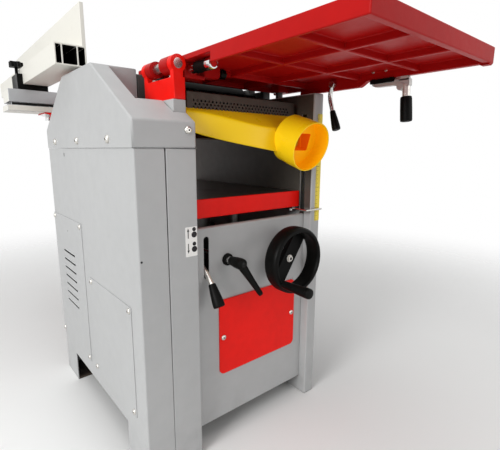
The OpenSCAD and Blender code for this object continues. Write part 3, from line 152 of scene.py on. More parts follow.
class Sock:
    """A node's output that takes part in arithmetic; each expression adds a Math node."""

    def __init__(self, nodes, socket):
        self.nodes = nodes
        self.socket = socket

    def math(self, operation, *values):
        return self.nodes.node("ShaderNodeMath", {"operation": operation}, dict(enumerate(values)))

    __add__ = __radd__ = sign("ADD")
    __sub__ = sign("SUBTRACT")
    __rsub__ = sign("SUBTRACT", True)
    __mul__ = __rmul__ = sign("MULTIPLY")
    __truediv__ = sign("DIVIDE")
    __rtruediv__ = sign("DIVIDE", True)
    __pow__ = sign("POWER")
    __gt__ = sign("GREATER_THAN")
    __lt__ = sign("LESS_THAN")

    def repeat(self, pitch):
        """The value's place within a repeat, from 0 to 1."""
        return self.math("FRACT", self / pitch)

    def ramp(self, low, high):
        """0 below low, 1 above high and a soft step between."""
        return self.nodes.node(
            "ShaderNodeMapRange",
            {"interpolation_type": "SMOOTHSTEP"},
            {"Value": self, "From Min": low, "From Max": high},
        )


class Nodes:
    """A node tree that one method fills."""

    def __init__(self, tree):
        self.tree = tree
        tree.nodes.clear()

    def node(self, kind, given=None, inputs=None, out=0):
        """Adds a node: its settings first, then the values or links of its sockets."""
        made = self.tree.nodes.new(kind)
        for key, value in (given or {}).items():
            setattr(made, key, value)
        for key, value in (inputs or {}).items():
            self.feed(made.inputs[key], value)
        return Sock(self, made.outputs[out]) if made.outputs else None

    def feed(self, socket, value):
        if isinstance(value, Sock):
            self.tree.links.new(value.socket, socket)
        else:
            socket.default_value = value


class Finish(Nodes):
    """A material and the nodes that vary it over a surface."""

    def __init__(self, name):
        self.material = bpy.data.materials.new(name)
        self.material.use_nodes = True
        super().__init__(self.material.node_tree)
        surface = self.node("ShaderNodeBsdfPrincipled")
        self.shader = surface.socket.node
        self.node("ShaderNodeOutputMaterial", None, {"Surface": surface})
        self.place = self.node("ShaderNodeTexCoord", out="Object")

    def axis(self, name):
        return self.node("ShaderNodeSeparateXYZ", None, {0: self.place}, name)

    def stretched(self, x, y, z):
        return self.node("ShaderNodeVectorMath", {"operation": "MULTIPLY"}, {0: self.place, 1: (x, y, z)})

    def noise(self, scale, detail=3.0, rough=0.55, place=None):
        return self.node(
            "ShaderNodeTexNoise",
            None,
            {"Vector": place or self.place, "Scale": scale, "Detail": detail, "Roughness": rough},
        )

    def mix(self, share, first, second):
        pair = {6: self.full(first), 7: self.full(second), 0: share}
        return self.node("ShaderNodeMix", {"data_type": "RGBA"}, pair, 2)

    @staticmethod
    def full(value):
        return value if isinstance(value, Sock) else (*value, 1)

    def wear(self, base, spread, share):
        """A colour with a lighter and a darker cast over the surface."""
        light = [min(1, c * (1 + spread)) for c in base]
        deep = [c * (1 - spread) for c in base]
        return self.mix(share, deep, light)

    def done(self, base, rough, height=None, depth=0.0004, strength=0.3, **constants):
        """Feeds the shader and sets its constant sockets."""
        self.feed(self.shader.inputs["Base Color"], self.full(base))
        self.feed(self.shader.inputs["Roughness"], rough)
        for key, value in constants.items():
            self.feed(self.shader.inputs[key.replace("_", " ").title().replace("Ior", "IOR")], value)
        if height is not None:
            bump = {"Height": height, "Distance": depth, "Strength": strength}
            self.feed(self.shader.inputs["Normal"], self.node("ShaderNodeBump", None, bump))


DUST_HEIGHT = 0.13
# Heights in metres where the throat's dark painted shade starts, at the front panel's top edge.
THROAT_SHADE_EDGE = (0.478, 0.505)
SCALE_MARKS = ((0.002, 0.26, 0.2235), (0.010, 0.075, 0.2265), (0.050, 0.02, 0.2305))


def shaded(base, *shares):
    """A colour with each of its channels taken down to a share."""
    return [value * share for value, share in zip(base, shares)]


def sheet_paint(name, base, spread=0.035, below=None):
    """Powder coat: orange peel, faint clouds, floor dust; given below, the coat is painted shade above the
    panel's top edge, with the below colour under it.
    """
    f = Finish(name)
    cloud = f.noise(3.2, 4) * 0.6 + f.noise(34, 2) * 0.4
    floor_dust = (1 - f.axis("Z").ramp(0.0, DUST_HEIGHT)) * f.noise(26, 5).ramp(0.35, 0.8)
    coat = f.wear(base, spread, cloud.ramp(0.3, 0.7))
    # Painted shade: the throat walls are dark above the panel's top edge and keep the below colour under it.
    if below:
        coat = f.mix(f.axis("Z").ramp(*THROAT_SHADE_EDGE), f.wear(below, 0.03, cloud.ramp(0.3, 0.7)), coat)
    coat = f.mix(floor_dust * 0.35, coat, [c * 0.62 for c in base])
    grain = f.noise(760, 2)
    f.done(coat, 0.42 + 0.14 * f.noise(70, 3), grain, 0.0003, 0.16, specular_ior_level=0.3)


def gloss_paint(name, base, cast=0.0, coat=0.08):
    """Red paint, with the sand texture of a casting under it where cast is above 0."""
    f = Finish(name)
    tint = f.wear(base, 0.07, (f.noise(6, 4) * 0.7 + f.noise(55, 3) * 0.3).ramp(0.3, 0.7))
    scuff = f.noise(18, 6, 0.7, f.stretched(1, 1, 3)).ramp(0.66, 0.74)
    tint = f.mix(scuff * 0.16, tint, [c * 0.55 for c in base])
    height = f.noise(620, 2) * (1 - cast) + f.noise(210, 4, 0.65) * cast
    rough = 0.30 + cast * 0.12 + 0.12 * f.noise(80, 3)
    f.done(
        tint, rough, height, 0.0004, 0.14 + 0.3 * cast,
        coat_weight=coat, coat_roughness=0.12, specular_ior_level=0.12,
    )


def ground_iron(name, base, metal=0.9):
    """Machined iron: fine lines along the feed, a few stains."""
    f = Finish(name)
    fine, broad = f.stretched(1500, 9, 9), f.stretched(420, 4, 4)
    lines = f.noise(1, 4, 0.6, fine) * 0.6 + f.noise(1, 2, 0.5, broad) * 0.4
    stain = f.noise(9, 5, 0.6).ramp(0.55, 0.78)
    tint = f.mix(stain * 0.3, f.wear(base, 0.16, lines), [c * 0.55 for c in base])
    f.done(tint, 0.26 + 0.2 * lines + 0.16 * stain, lines, 0.0002, 0.25, metallic=metal)


def raw_sheet(name, base):
    """Dark coated sheet with rub marks."""
    f = Finish(name)
    rub = f.noise(1, 5, 0.65, f.stretched(30, 160, 30)).ramp(0.52, 0.8)
    tint = f.mix(rub * 0.35, f.wear(base, 0.14, f.noise(14, 4)), [min(1, c * 1.9 + 0.01) for c in base])
    f.done(tint, 0.5 + 0.12 * f.noise(45, 3) - 0.15 * rub, f.noise(480, 3), 0.0003, 0.16, metallic=0.25)


def drawn_metal(name, base, rough, along, metal=1.0, spread=0.1):
    """Drawn or turned metal: fine lines along one direction."""
    f = Finish(name)
    fine = [5 if i == along else 1300 for i in range(3)]
    lines = f.noise(1, 3, 0.6, f.stretched(*fine))
    spots = f.noise(60, 4).ramp(0.6, 0.8)
    tint = f.mix(spots * 0.18, f.wear(base, spread, lines), [c * 0.6 for c in base])
    f.done(tint, rough + 0.12 * lines + 0.1 * spots, lines, 0.00015, 0.2, metallic=metal)


def cast_metal(name, base):
    """Sand-cast iron, oily in places."""
    f = Finish(name)
    sand = f.noise(260, 5, 0.65)
    oil = f.noise(11, 4).ramp(0.45, 0.75)
    tint = f.mix(oil * 0.4, f.wear(base, 0.2, sand), [c * 0.5 for c in base])
    f.done(tint, 0.62 - 0.2 * oil + 0.1 * sand, sand, 0.0005, 0.4, metallic=0.6)


def moulded(name, base, rough=0.34, grain=0.2, coat=0.0, spread=0.06, shine=0.3, painted_glow=0.0):
    """Moulded plastic: fine spark texture, rubbed shiny in places; the glow argument is painted light, an
    emission in the plastic's colour that stands in for light through a thin wall.
    """
    f = Finish(name)
    rubbed = f.noise(24, 4).ramp(0.4, 0.7)
    tint = f.wear(base, spread, f.noise(16, 3) * 0.6 + f.noise(300, 2) * 0.4)
    # Painted light: the emission lights the plastic from within though it is no lamp.
    f.done(
        tint, rough + 0.12 * (1 - rubbed), f.noise(900, 3, 0.6), 0.00022, grain,
        coat_weight=coat, coat_roughness=0.2, specular_ior_level=shine,
        emission_color=(*base, 1), emission_strength=painted_glow,
    )


def rubber(name, base):
    """Belt rubber with dust on it."""
    f = Finish(name)
    dust = f.noise(40, 5).ramp(0.5, 0.8)
    tint = f.mix(dust * 0.3, f.wear(base, 0.2, f.noise(120, 3)), (0.12, 0.11, 0.1))
    f.done(tint, 0.72 + 0.12 * dust, f.noise(700, 2), 0.0003, 0.3)


def printed_scale(name, base):
    """Yellow strip with a mark at every 2 mm, longer at 10 and longest at 50."""
    f = Finish(name)
    z, x = f.axis("Z"), f.axis("X")
    ink = 0
    for pitch, thick, reach in SCALE_MARKS:
        ink = (z.repeat(pitch) < thick) * (x < reach) + ink
    shown = (ink > 0.5) * 0.86
    tint = f.mix(shown, f.wear(base, 0.07, f.noise(40, 4)), (0.018, 0.016, 0.014))
    f.done(tint, 0.36 + 0.16 * f.noise(60, 3), f.noise(500, 2), 0.0001, 0.1)


class PLANER_OT_finishes(Operator):
    """Make the paints, plastics and metals"""

    bl_idname = "planer.finishes"
    bl_label = "Finishes"

    def execute(self, context):
        c = context.scene.planer_colours
        sheet_paint("grey_coat", c.grey)
        # Painted shade: a dark brown copy of the grey paint for the throat walls above the front panel, grey
        # below it.
        sheet_paint("inner_coat", shaded(c.grey, 0.19, 0.165, 0.14), 0.16, c.grey)
        gloss_paint("red_coat", c.red)
        # The tables' cast paint with its sand texture, darker partly as painted shade for their undersides.
        gloss_paint("cast_red", c.casting, 0.7, 0.04)
        ground_iron("ground_top", c.ground)
        # Painted shade: a dark copy of the ground iron for the thicknesser bed.
        ground_iron("bed_top", c.bed, 0.6)
        raw_sheet("dark_steel_sheet", c.dark)
        moulded("yellow_shell", c.yellow, 0.24, 0.08, 0.06, 0.04, 0.25)
        # Painted shade and painted light: orange copies of the one yellow plastic, with emission, for the
        # inside of the port and the chute, deeper in the port's mouth.
        moulded("yellow_inner", c.orange, 0.36, 0.12, painted_glow=0.15)
        moulded("yellow_deep", shaded(c.orange, 0.85, 0.3, 1), 0.4, 0.12, painted_glow=0.22)
        moulded("black_grip", c.black, 0.34, 0.25, shine=0.07)
        moulded("black_gloss", shaded(c.black, 0.8, 0.8, 0.8), 0.2, 0.1, 0.1, shine=0.2)
        moulded("green_cap", lin(20, 128, 52), 0.28, 0.08, 0.3)
        moulded("red_cap", lin(196, 18, 14), 0.26, 0.08, 0.3)
        moulded("white_print", lin(238, 237, 234), 0.42, 0.04)
        # Black for printed marks, and as painted shade in holes and the cover's joint.
        moulded("black_ink", lin(24, 22, 26), 0.5, 0.04)
        drawn_metal("fence_cream", c.cream, 0.36, 1, 0.0, 0.03)
        drawn_metal("rail_silver", c.silver, 0.34, 0, 0.55, 0.06)
        drawn_metal("bright_rod", c.steel, 0.2, 1)
        drawn_metal("turned_steel", c.steel, 0.28, 0)
        drawn_metal("screw_zinc", lin(206, 203, 197), 0.26, 2)
        drawn_metal("lever_zinc", lin(222, 219, 212), 0.3, 2, 0.8)
        drawn_metal("chrome", lin(228, 228, 228), 0.05, 0, 1.0, 0.02)
        drawn_metal("brass_stock", lin(196, 152, 70), 0.26, 2)
        # Dark steel, also painted shade in the recesses of screw and bolt heads.
        drawn_metal("dark_steel", lin(92, 90, 88), 0.36, 0)
        # Painted shade: a near-black dull steel for the cutter block, its gibs, the front roller and the
        # fence beam's hollow, which sit in deep shade.
        moulded("oiled_steel", lin(20, 19, 18), 0.6, 0.3, shine=0.06)
        drawn_metal("cast_silver", lin(206, 206, 203), 0.42, 0, 0.5, 0.05)
        cast_metal("cast_stock", c.iron)
        rubber("belt_stock", lin(26, 25, 24))
        printed_scale("scale_print", c.strip)
        return {"FINISHED"}


def put(name, bm, body, finishes, stands_for=(), crease=35.0, unit=MM):
    """Makes a finished object of a mesh and sets it on its body."""
    if unit != 1:
        bmesh.ops.scale(bm, vec=(unit, unit, unit), verts=bm.verts)
    bmesh.ops.recalc_face_normals(bm, faces=bm.faces)
    mesh = bpy.data.meshes.new(name)
    bm.to_mesh(mesh)
    bm.free()
    mesh.shade_smooth()
    mesh.set_sharp_from_angle(angle=math.radians(crease))
    for finish in finishes:
        mesh.materials.append(bpy.data.materials[finish])
    piece = bpy.data.objects.new(name, mesh)
    bpy.context.scene.collection.objects.link(piece)
    even = piece.modifiers.new("Even shading", "WEIGHTED_NORMAL")
    even.keep_sharp = True
    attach(piece, body)
    if stands_for:
        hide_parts(*stands_for)


def stand_in(name, bm, node, finishes, crease=35.0, unit=MM):
    """Puts a piece in a node's place, on its body, and hides the node."""
    body = frame["nodes"][node]["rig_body"]
    put(name, bm, body, finishes, (node,), crease, unit)


def eased(node, radius, finishes, paint=None, shape=None):
    """A node's shape with rounded edges; paint gives a face's finish from its centre, in mm, and normal."""
    bm = bmesh.new()
    bm.from_mesh(frame["nodes"][node].data)
    bmesh.ops.remove_doubles(bm, verts=bm.verts, dist=1e-5)
    bmesh.ops.dissolve_limit(bm, angle_limit=math.radians(1), verts=bm.verts, edges=bm.edges)
    for face in bm.faces:
        face.material_index = paint(face.calc_center_median() / MM, face.normal) if paint else 0
    if shape:
        shape(bm)
    if radius:
        ease(bm, bm.edges, radius)
    stand_in(node + "_piece", bm, node, finishes, unit=1)


def ease(bm, edges, radius, steps=3):
    """Rounds the sharp edges that are long and wide enough for the radius."""
    picked = []
    for edge in edges:
        if len(edge.link_faces) != 2 or edge.calc_face_angle(0) < SHARP:
            continue
        span = edge.calc_length()
        if span > 4 * radius and all(f.calc_area() / span > 2.1 * radius for f in edge.link_faces):
            picked.append(edge)
    if picked:
        bmesh.ops.bevel(
            bm, geom=picked, offset=radius, segments=steps, profile=0.5, affect="EDGES", clamp_overlap=False
        )


def dress(node, finish):
    """Gives a node that keeps its own shape a better finish."""
    piece = frame["nodes"][node]
    if not piece.material_slots:
        piece.data.materials.append(None)
    for part in piece.material_slots:
        part.link = "OBJECT"
        part.material = bpy.data.materials[finish]


def skin(bm, rings, closed=False, finish=0):
    """Faces between neighbouring rings of vertices; a ring of one vertex is a point."""
    pairs = list(zip(rings, rings[1:]))
    if closed:
        pairs.append((rings[-1], rings[0]))
    for low, high in pairs:
        count = max(len(low), len(high))
        for i in range(count):
            j = (i + 1) % count
            corner = (low[i % len(low)], low[j % len(low)], high[j % len(high)], high[i % len(high)])
            corner = list(dict.fromkeys(corner))
            if len(corner) > 2:
                bm.faces.new(corner).material_index = finish


def capped(bm, rings, last=0):
    """A skin over rings with a face at either end; the last face may have a finish of its own."""
    skin(bm, rings)
    bm.faces.new(rings[0])
    bm.faces.new(rings[-1]).material_index = last


def turn(bm, at, along, profile, steps=None, finish=0, closed=False, wave=None, side=None):
    """Turns (radius, distance) pairs about the line from at; wave varies a radius round the turn."""
    steps = steps or sizes().turned
    axis = Vector(along).normalized()
    side = (side or axis.orthogonal()).normalized()
    other = axis.cross(side)
    rings = []
    for k, (radius, reach) in enumerate(profile):
        centre = Vector(at) + axis * reach
        if radius == 0:
            rings.append([bm.verts.new(centre)])
            continue
        ring = []
        for i in range(steps):
            a = math.tau * i / steps
            r = radius * (wave(k, a) if wave else 1)
            ring.append(bm.verts.new(centre + side * (r * math.cos(a)) + other * (r * math.sin(a))))
        rings.append(ring)
    skin(bm, rings, closed, finish)


def rounded(points, radius):
    """A path whose inner corners are drawn round."""
    steps = 7
    points = [Vector(p) for p in points]
    path = [points[0]]
    for before, corner, after in zip(points, points[1:], points[2:]):
        start = corner + (before - corner).normalized() * min(radius, (before - corner).length * 0.48)
        end = corner + (after - corner).normalized() * min(radius, (after - corner).length * 0.48)
        for i in range(steps + 1):
            u = i / steps
            path.append(start * (1 - u) ** 2 + corner * (2 * u * (1 - u)) + end * u**2)
    path.append(points[-1])
    return path


def circle(steps):
    """Points spread evenly round a circle of radius 1."""
    return [(math.cos(a), math.sin(a)) for a in (math.tau * i / steps for i in range(steps))]


def bar(bm, path, radius, steps=24, flat=1.0):
    """A round bar along a path; radius is one value or one for each point."""
    path = [Vector(p) for p in path]
    last = len(path) - 1
    normal = None
    rings = []
    for i, point in enumerate(path):
        ahead = (path[min(i + 1, last)] - path[max(i - 1, 0)]).normalized()
        normal = ahead.orthogonal() if normal is None else normal
        normal = (normal - ahead * normal.dot(ahead)).normalized()
        other = ahead.cross(normal)
        r = radius[i] if isinstance(radius, (list, tuple)) else radius
        u, v = normal * r, other * (r * flat)
        rings.append([bm.verts.new(point + u * c + v * s) for c, s in circle(steps)])
    capped(bm, rings)


def round_box(w, h, r):
    """The outline of a rectangle with round corners, about its centre."""
    steps = 6
    outline = []
    for k, (right, up) in enumerate(((1, 1), (-1, 1), (-1, -1), (1, -1))):
        for i in range(steps + 1):
            a = math.radians(90 * k + 90 * i / steps)
            outline.append((right * (w / 2 - r) + r * math.cos(a), up * (h / 2 - r) + r * math.sin(a)))
    return outline


def slab(bm, outline, at, u, v, depth, edge=0.0, steps=2):
    """A plate of an outline in u and v, drawn out by depth along u x v, with its front edge rounded."""
    at, u, v = Vector(at), Vector(u).normalized(), Vector(v).normalized()
    out = u.cross(v)
    cx = sum(p[0] for p in outline) / len(outline)
    cy = sum(p[1] for p in outline) / len(outline)
    half = max(max(abs(p[0] - cx), abs(p[1] - cy)) for p in outline)
    levels = [(0, 0)]
    for i in range(steps + 1 if edge else 1):
        a = math.pi / 2 * i / steps
        levels.append((edge * (1 - math.cos(a)), depth - edge * (1 - math.sin(a))))
    rings = []
    for inset, rise in levels:
        shrink = 1 - inset / half
        flat = [(cx + (p[0] - cx) * shrink, cy + (p[1] - cy) * shrink) for p in outline]
        rings.append([bm.verts.new(at + u * a + v * b + out * rise) for a, b in flat])
    capped(bm, rings)


def dome_screw(bm, at, along, r, h):
    """A domed head with a pressed cross; the cross's recess takes finish 1 as painted shade."""
    foot, brim = (r, -0.4), (r * 0.52, h * 0.98)
    head = [foot, (r, h * 0.25), (r * 0.93, h * 0.56), (r * 0.74, h * 0.86), brim]
    cross = [(r * 0.42, h), (r * 0.36, h * 0.5), (0, h * 0.38)]

    def lobes(k, a):
        return 0.52 + 0.48 * abs(math.cos(2 * a)) ** 3 if k < 2 else 1

    turn(bm, at, along, head, 32)
    turn(bm, at, along, [foot, (0, -0.4)], 32)
    turn(bm, at, along, [brim, cross[0]], 32, wave=lambda k, a: lobes(0, a) if k else 1)
    # The cross's recess gets the dark finish 1 as painted shade.
    turn(bm, at, along, cross, 32, 1, wave=lobes)


def hex_bolt(bm, at, along, r, h, washer=0.0):
    """A six-sided head with a chamfered top, on a washer where one is given."""
    foot, top = -0.3, 1.7
    if washer:
        turn(bm, at, along, [(0, foot), (washer, foot), (washer, 1.2), (washer - 0.5, top), (0, top)], 32)
        foot = top
    turn(bm, at, along, [(0, foot), (r, foot), (r, h * 0.86), (r * 0.86, h), (0, h)], 6)


def socket_bolt(bm, at, along, r, h):
    """A round head with a recess in its top; the recess takes finish 1 as painted shade."""
    turn(bm, at, along, [(0, -0.3), (r, -0.3), (r, h * 0.8), (r * 0.88, h), (r * 0.56, h)], 36)
    turn(bm, at, along, [(r * 0.56, h), (r * 0.5, h - 0.4), (r * 0.5, h * 0.3), (0, h * 0.3)], 36, 1)


def pin(bm, at, along, r, reach, steps, finish=0):
    """A plain round pin."""
    turn(bm, at, along, [(0, 0), (r, 0), (r, reach), (0, reach)], steps, finish)


X, Y, Z = Vector((1, 0, 0)), Vector((0, 1, 0)), Vector((0, 0, 1))

# The stand in mm: its drive side, front, front panel, the joint under the cover and the throat's walls.
LEFT, FRONT, PANEL, JOINT = -237.0, -273.5, -251.5, 640.0
THROAT = (-117.0, 205.0)
SHEET, OVERHANG, JOINT_GAP = 1.5, 1.6, 0.6
PANEL_TOP, PANEL_FOLD = 484.5, 4.0
SEAM, SEAM_DEPTH, SEAM_HEIGHT, SEAM_OPEN = -180.0, 20.0, 40.0, 1.6
SLOTS, SLOT_TOP, SLOT_PITCH, SLOT_COUNT = (100.0, 210.0), 376.0, 23.0, 7
SLOT_LIFT, SLOT_CLOSE = 1.5, 0.25


def throat_left(centre, normal):
    """The left wall of the throat takes the throat's painted shade."""
    return int(normal.x > 0.9 and centre.x > THROAT[0] - 2 and abs(centre.y) < -FRONT - 3.5)


def throat_right(centre, normal):
    """The right wall of the throat takes the throat's painted shade."""
    return int(normal.x < -0.9 and centre.x < THROAT[1] + 2)


def cover_overhang(bm):
    """Lets the cover stand out a little past the cabinet, with an open joint below it."""
    for v in bm.verts:
        if v.co.x < (LEFT + 0.1) * MM:
            v.co.x = (LEFT - OVERHANG) * MM
        if abs(v.co.y) > (-FRONT - 0.1) * MM:
            v.co.y = math.copysign((OVERHANG - FRONT) * MM, v.co.y)
        if v.co.z < (JOINT + 0.5) * MM:
            v.co.z += JOINT_GAP * MM


def cabinet_seam(bm):
    """Opens the seam beside the cabinet a little towards its top."""
    for v in bm.verts:
        in_front = v.co.x < (SEAM + 0.5) * MM and v.co.y < (FRONT + SEAM_DEPTH) * MM
        if in_front and v.co.z > (JOINT - SEAM_HEIGHT) * MM:
            v.co.x += SEAM_OPEN * MM


def vent_slots(bm):
    """Sets the ventilation slots a little higher and narrower."""
    for v in bm.verts:
        _, y, z = v.co / MM
        if SLOTS[0] < y < SLOTS[1] and SLOT_TOP - SLOT_COUNT * SLOT_PITCH < z < SLOT_TOP + 1:
            below_top = (SLOT_TOP + 1 - z) % SLOT_PITCH - 1
            v.co.z += (SLOT_LIFT + SLOT_CLOSE * below_top) * MM


def panel_fold(bm):
    """Rounds the upper fold of the front panel."""
    top = [
        e for e in bm.edges
        if all(v.co.z > PANEL_TOP * MM and v.co.y < (PANEL + 0.2) * MM for v in e.verts)
    ]
    ease(bm, top, PANEL_FOLD * MM, 4)


def louvres():
    """Low pressed lips over the slots of the ventilation panel."""
    root = LEFT - SHEET + 0.3
    lip = [(0, 2.6), (-0.8, 1.8), (-1.2, 0.4), (-1.3, -1.2)]
    lip += [(-0.8, -1.5), (-0.7, 0.1), (-0.3, 1.5), (0, 1.2)]
    swell = ((107, 0.05), (107.6, 0.7), (110, 1), (201, 1), (203.4, 0.7), (204, 0.05))
    bm = bmesh.new()
    for i in range(SLOT_COUNT):
        top = SLOT_TOP - SLOT_PITCH * i + 2.5
        capped(bm, [[bm.verts.new((root + x * share, y, top + z)) for x, z in lip] for y, share in swell])
    put("vent_louvres", bm, "stand", ["grey_coat"])


def small_holes():
    """Black painted shade: discs for small holes in the cabinet and a dark strip that fills the cover's joint
    in front.
    """
    oblong, round_hole, corner_hole = (131, 625), (152.5, 433), (-232, 446)
    strip_middle, shallow, deep = -148, 0.5, 1.5
    bm = bmesh.new()
    # Painted shade: thin black discs stand for the holes.
    slab(bm, round_box(4, 9, 1.9), (LEFT - 0.2, *oblong), Y, Z, shallow)
    slab(bm, round_box(3, 3, 1.4), (LEFT - SHEET - 0.2, *round_hole), Y, Z, shallow)
    slab(bm, round_box(4, 4, 1.9), (corner_hole[0], FRONT + 0.3, corner_hole[1]), X, Z, shallow)
    # Painted shade: the dark strip fills the open joint under the cover in front.
    slab(bm, round_box(60, 6, 0.5), (strip_middle, FRONT + 3, JOINT + 0.3), X, Z, deep)
    put("cabinet_holes", bm, "stand", ["black_ink"])


class PLANER_OT_stand(Operator):
    """Fold the sheet metal of the stand, the cabinet and the drive cover"""

    bl_idname = "planer.stand"
    bl_label = "Stand and cover"

    def execute(self, context):
        s = sizes()
        # The throat walls take the painted shade as their second finish.
        grey, inside = ["grey_coat"], ["grey_coat", "inner_coat"]
        eased("left_frame", s.fold * 0.6, inside, throat_left, shape=cabinet_seam)
        eased("right_frame", s.fold, inside, throat_right)
        eased("drive_cabinet", s.fold, grey)
        eased("drive_cover", s.fold * 1.3, grey, shape=cover_overhang)
        eased("front_panel", s.fine_edge, grey, shape=panel_fold)
        eased("rear_panel", s.fine_edge, grey)
        eased("inspection_plate", s.fine_edge, ["red_coat"])
        for node in ("base_pan", "floor_feet"):
            eased(node, s.fine_edge, ["dark_steel_sheet"])
        eased("side_panels", s.fine_edge * 0.6, grey, shape=vent_slots)
        louvres()
        small_holes()
        return {"FINISHED"}


# Screw places in mm, each row along and up; a head is a radius, a height and a bolt's washer radius.
COVER_SCREWS, COVER_HEAD = ([FRONT + y for y in (105, 287, 466)], [656]), (7.6, 5.2)
SIDE_SCREWS, SIDE_HEAD = (([47.5, 263.5], [128, 459]), ([-219.5, -7.5], [128, 340])), (6, 3.4)
CORNER_SCREW, CORNER_HEAD = (-134, FRONT - OVERHANG, 672), (7, 4.6)
PANEL_SCREWS, PANEL_HEAD = [(x, PANEL - 3, 237) for x in (-45, 165)], (6, 3.2)
BRACKETS, BRACKET_BOLTS, BRACKET_HEAD = (-183, 183), (-34, 34), (5.6, 5.5, 8)
BRACKET_X, BRACKET_TOP = -129, 767


class PLANER_OT_fasteners(Operator):
    """Set the domed screws of the stand and the bolts of the head"""

    bl_idname = "planer.fasteners"
    bl_label = "Fasteners"

    def execute(self, context):
        bm = bmesh.new()
        rows = [(LEFT - OVERHANG, COVER_HEAD, COVER_SCREWS)]
        rows += [(LEFT - SHEET, SIDE_HEAD, row) for row in SIDE_SCREWS]
        for face, head, (along, up) in rows:
            for y in along:
                for z in up:
                    dome_screw(bm, (face, y, z), -X, *head)
        dome_screw(bm, CORNER_SCREW, -Y, *CORNER_HEAD)
        for spot in PANEL_SCREWS:
            dome_screw(bm, spot, -Y, *PANEL_HEAD)
        stand_in("case_screw_heads", bm, "case_screws", ["screw_zinc", "dark_steel"])
        bm = bmesh.new()
        for y in BRACKETS:
            for step in BRACKET_BOLTS:
                hex_bolt(bm, (BRACKET_X, y + step, BRACKET_TOP), Z, *BRACKET_HEAD)
        put("bracket_bolts", bm, "stand", ["screw_zinc"])
        return {"FINISHED"}


SCALE_AT, LABEL_AT = (227, FRONT + 0.1, 595), (-131.5, FRONT + 0.1, 468)
MARK_FACE, DISC_X, ARROW_X = FRONT - 0.35, -125.5, -138.5


class PLANER_OT_scale(Operator):
    """Stick on the depth scale and the plain arrow label"""

    bl_idname = "planer.scale"
    bl_label = "Scale and label"

    def execute(self, context):
        bm = bmesh.new()
        slab(bm, round_box(16, 254, 1.5), SCALE_AT, X, Z, 0.9, 0.2)
        stand_in("depth_scale_strip", bm, "depth_scale", ["scale_print"])
        bm = bmesh.new()
        slab(bm, round_box(25, 57, 1.2), LABEL_AT, X, Z, 0.5, 0.1)
        put("height_label", bm, "stand", ["white_print"])
        arrow = [(-0.8, -9), (0.8, -9), (0.8, 4), (2.3, 4), (0, 10), (-2.3, 4), (-0.8, 4)]
        thick = 0.25
        bm = bmesh.new()
        for middle, up in ((482, 1), (454, -1)):
            for r, z in ((3.9, middle + 9.5), (5.8, middle - 0.8)):
                disc = [(r * c, r * s) for c, s in circle(28)]
                slab(bm, disc, (DISC_X, MARK_FACE, z), X, Z, thick)
            turned = [(x, z * up) for x, z in arrow][::up]
            slab(bm, turned, (ARROW_X, MARK_FACE, middle + 2), X, Z, thick)
        put("height_label_marks", bm, "stand", ["black_ink"])
        return {"FINISHED"}


# The chute in mm: its ends, open back and wall; its front swells out to the right, its underside falls.
CHUTE, CHUTE_BACK, CHUTE_WALL = (-110.0, 197.0), -221.5, 3.0
CHUTE_FRONT, SWELL, SWELL_FROM, SWELL_RUN = -232.0, 41.0, -108.0, 195.0
CHUTE_TOP, TOP_SLOPE = 684.0, 34 / 52
UNDER, UNDER_FROM, UNDER_FALL, UNDER_CURVE, UNDER_SLOPE = 670.5, -97.0, 0.245, 0.00027, 0.22
MOUTH, MOUTH_LOW = (103.0, 163.0), 640.0
PORT, PORT_TILT, PORT_STEPS = Vector((133, -267.5, 665)), math.radians(18), 72
PORT_AXIS = Vector((0, -math.cos(PORT_TILT), -math.sin(PORT_TILT)))
# The chip guard's holes in mm: the first one's place, the pitch, the rise of a row, the new radius.
GUARD_FACE, GUARD_DROP = -221.0, 4.0
HOLES_LEFT, HOLES_RIGHT, HOLES_LOW, HOLE_ROWS = -89.0, 183.0, 723.0, 3
HOLE_PITCH, HOLE_RISE, HOLE_REACH, HOLE_RADIUS = 9.0, 6.3, 3.4, 2.4


def smooth(t):
    t = min(1.0, max(0.0, t))
    return t * t * (3 - 2 * t)


def chute_path(x, wall):
    """The chute's outline at x, from its upper back edge round the front to its lower back edge."""
    t = x - UNDER_FROM
    front = CHUTE_FRONT - SWELL * smooth((x - SWELL_FROM) / SWELL_RUN) + wall
    under = UNDER - UNDER_FALL * t + UNDER_CURVE * t * t + wall
    back_top, front_top = (CHUTE_TOP + (y - FRONT) * TOP_SLOPE - wall for y in (CHUTE_BACK, front))
    back_under = under + (CHUTE_BACK - front) * UNDER_SLOPE
    corners = [(CHUTE_BACK, back_top), (front, front_top), (front, under), (CHUTE_BACK, back_under)]
    return rounded([(x, y, z) for y, z in corners], 4)


def hole_wall(centre, normal):
    """The walls of the guard's holes are painted black as painted shade."""
    level = abs(normal.y) < 0.3 and centre.y < GUARD_FACE
    in_rows = HOLES_LOW - 4 < centre.z < HOLES_LOW + 22 and HOLES_LEFT - 11 < centre.x < HOLES_RIGHT + 5
    return int(level and in_rows)


def guard_shape(bm):
    """Widens the guard's holes and hangs it a little lower."""
    for v in bm.verts:
        x, y, z = v.co / MM
        row = round((z - HOLES_LOW) / HOLE_RISE)
        if y < GUARD_FACE and 0 <= row < HOLE_ROWS:
            shift = (row % 2) / 2
            column = round((x - HOLES_LEFT) / HOLE_PITCH - shift) + shift
            middle = Vector((HOLES_LEFT + column * HOLE_PITCH, y, HOLES_LOW + row * HOLE_RISE))
            away = Vector((x, y, z)) - middle
            if away.length < HOLE_REACH and HOLES_LEFT - 3 < x < HOLES_RIGHT + 3:
                v.co = (middle + away.normalized() * HOLE_RADIUS) * MM
        v.co.z -= GUARD_DROP * MM


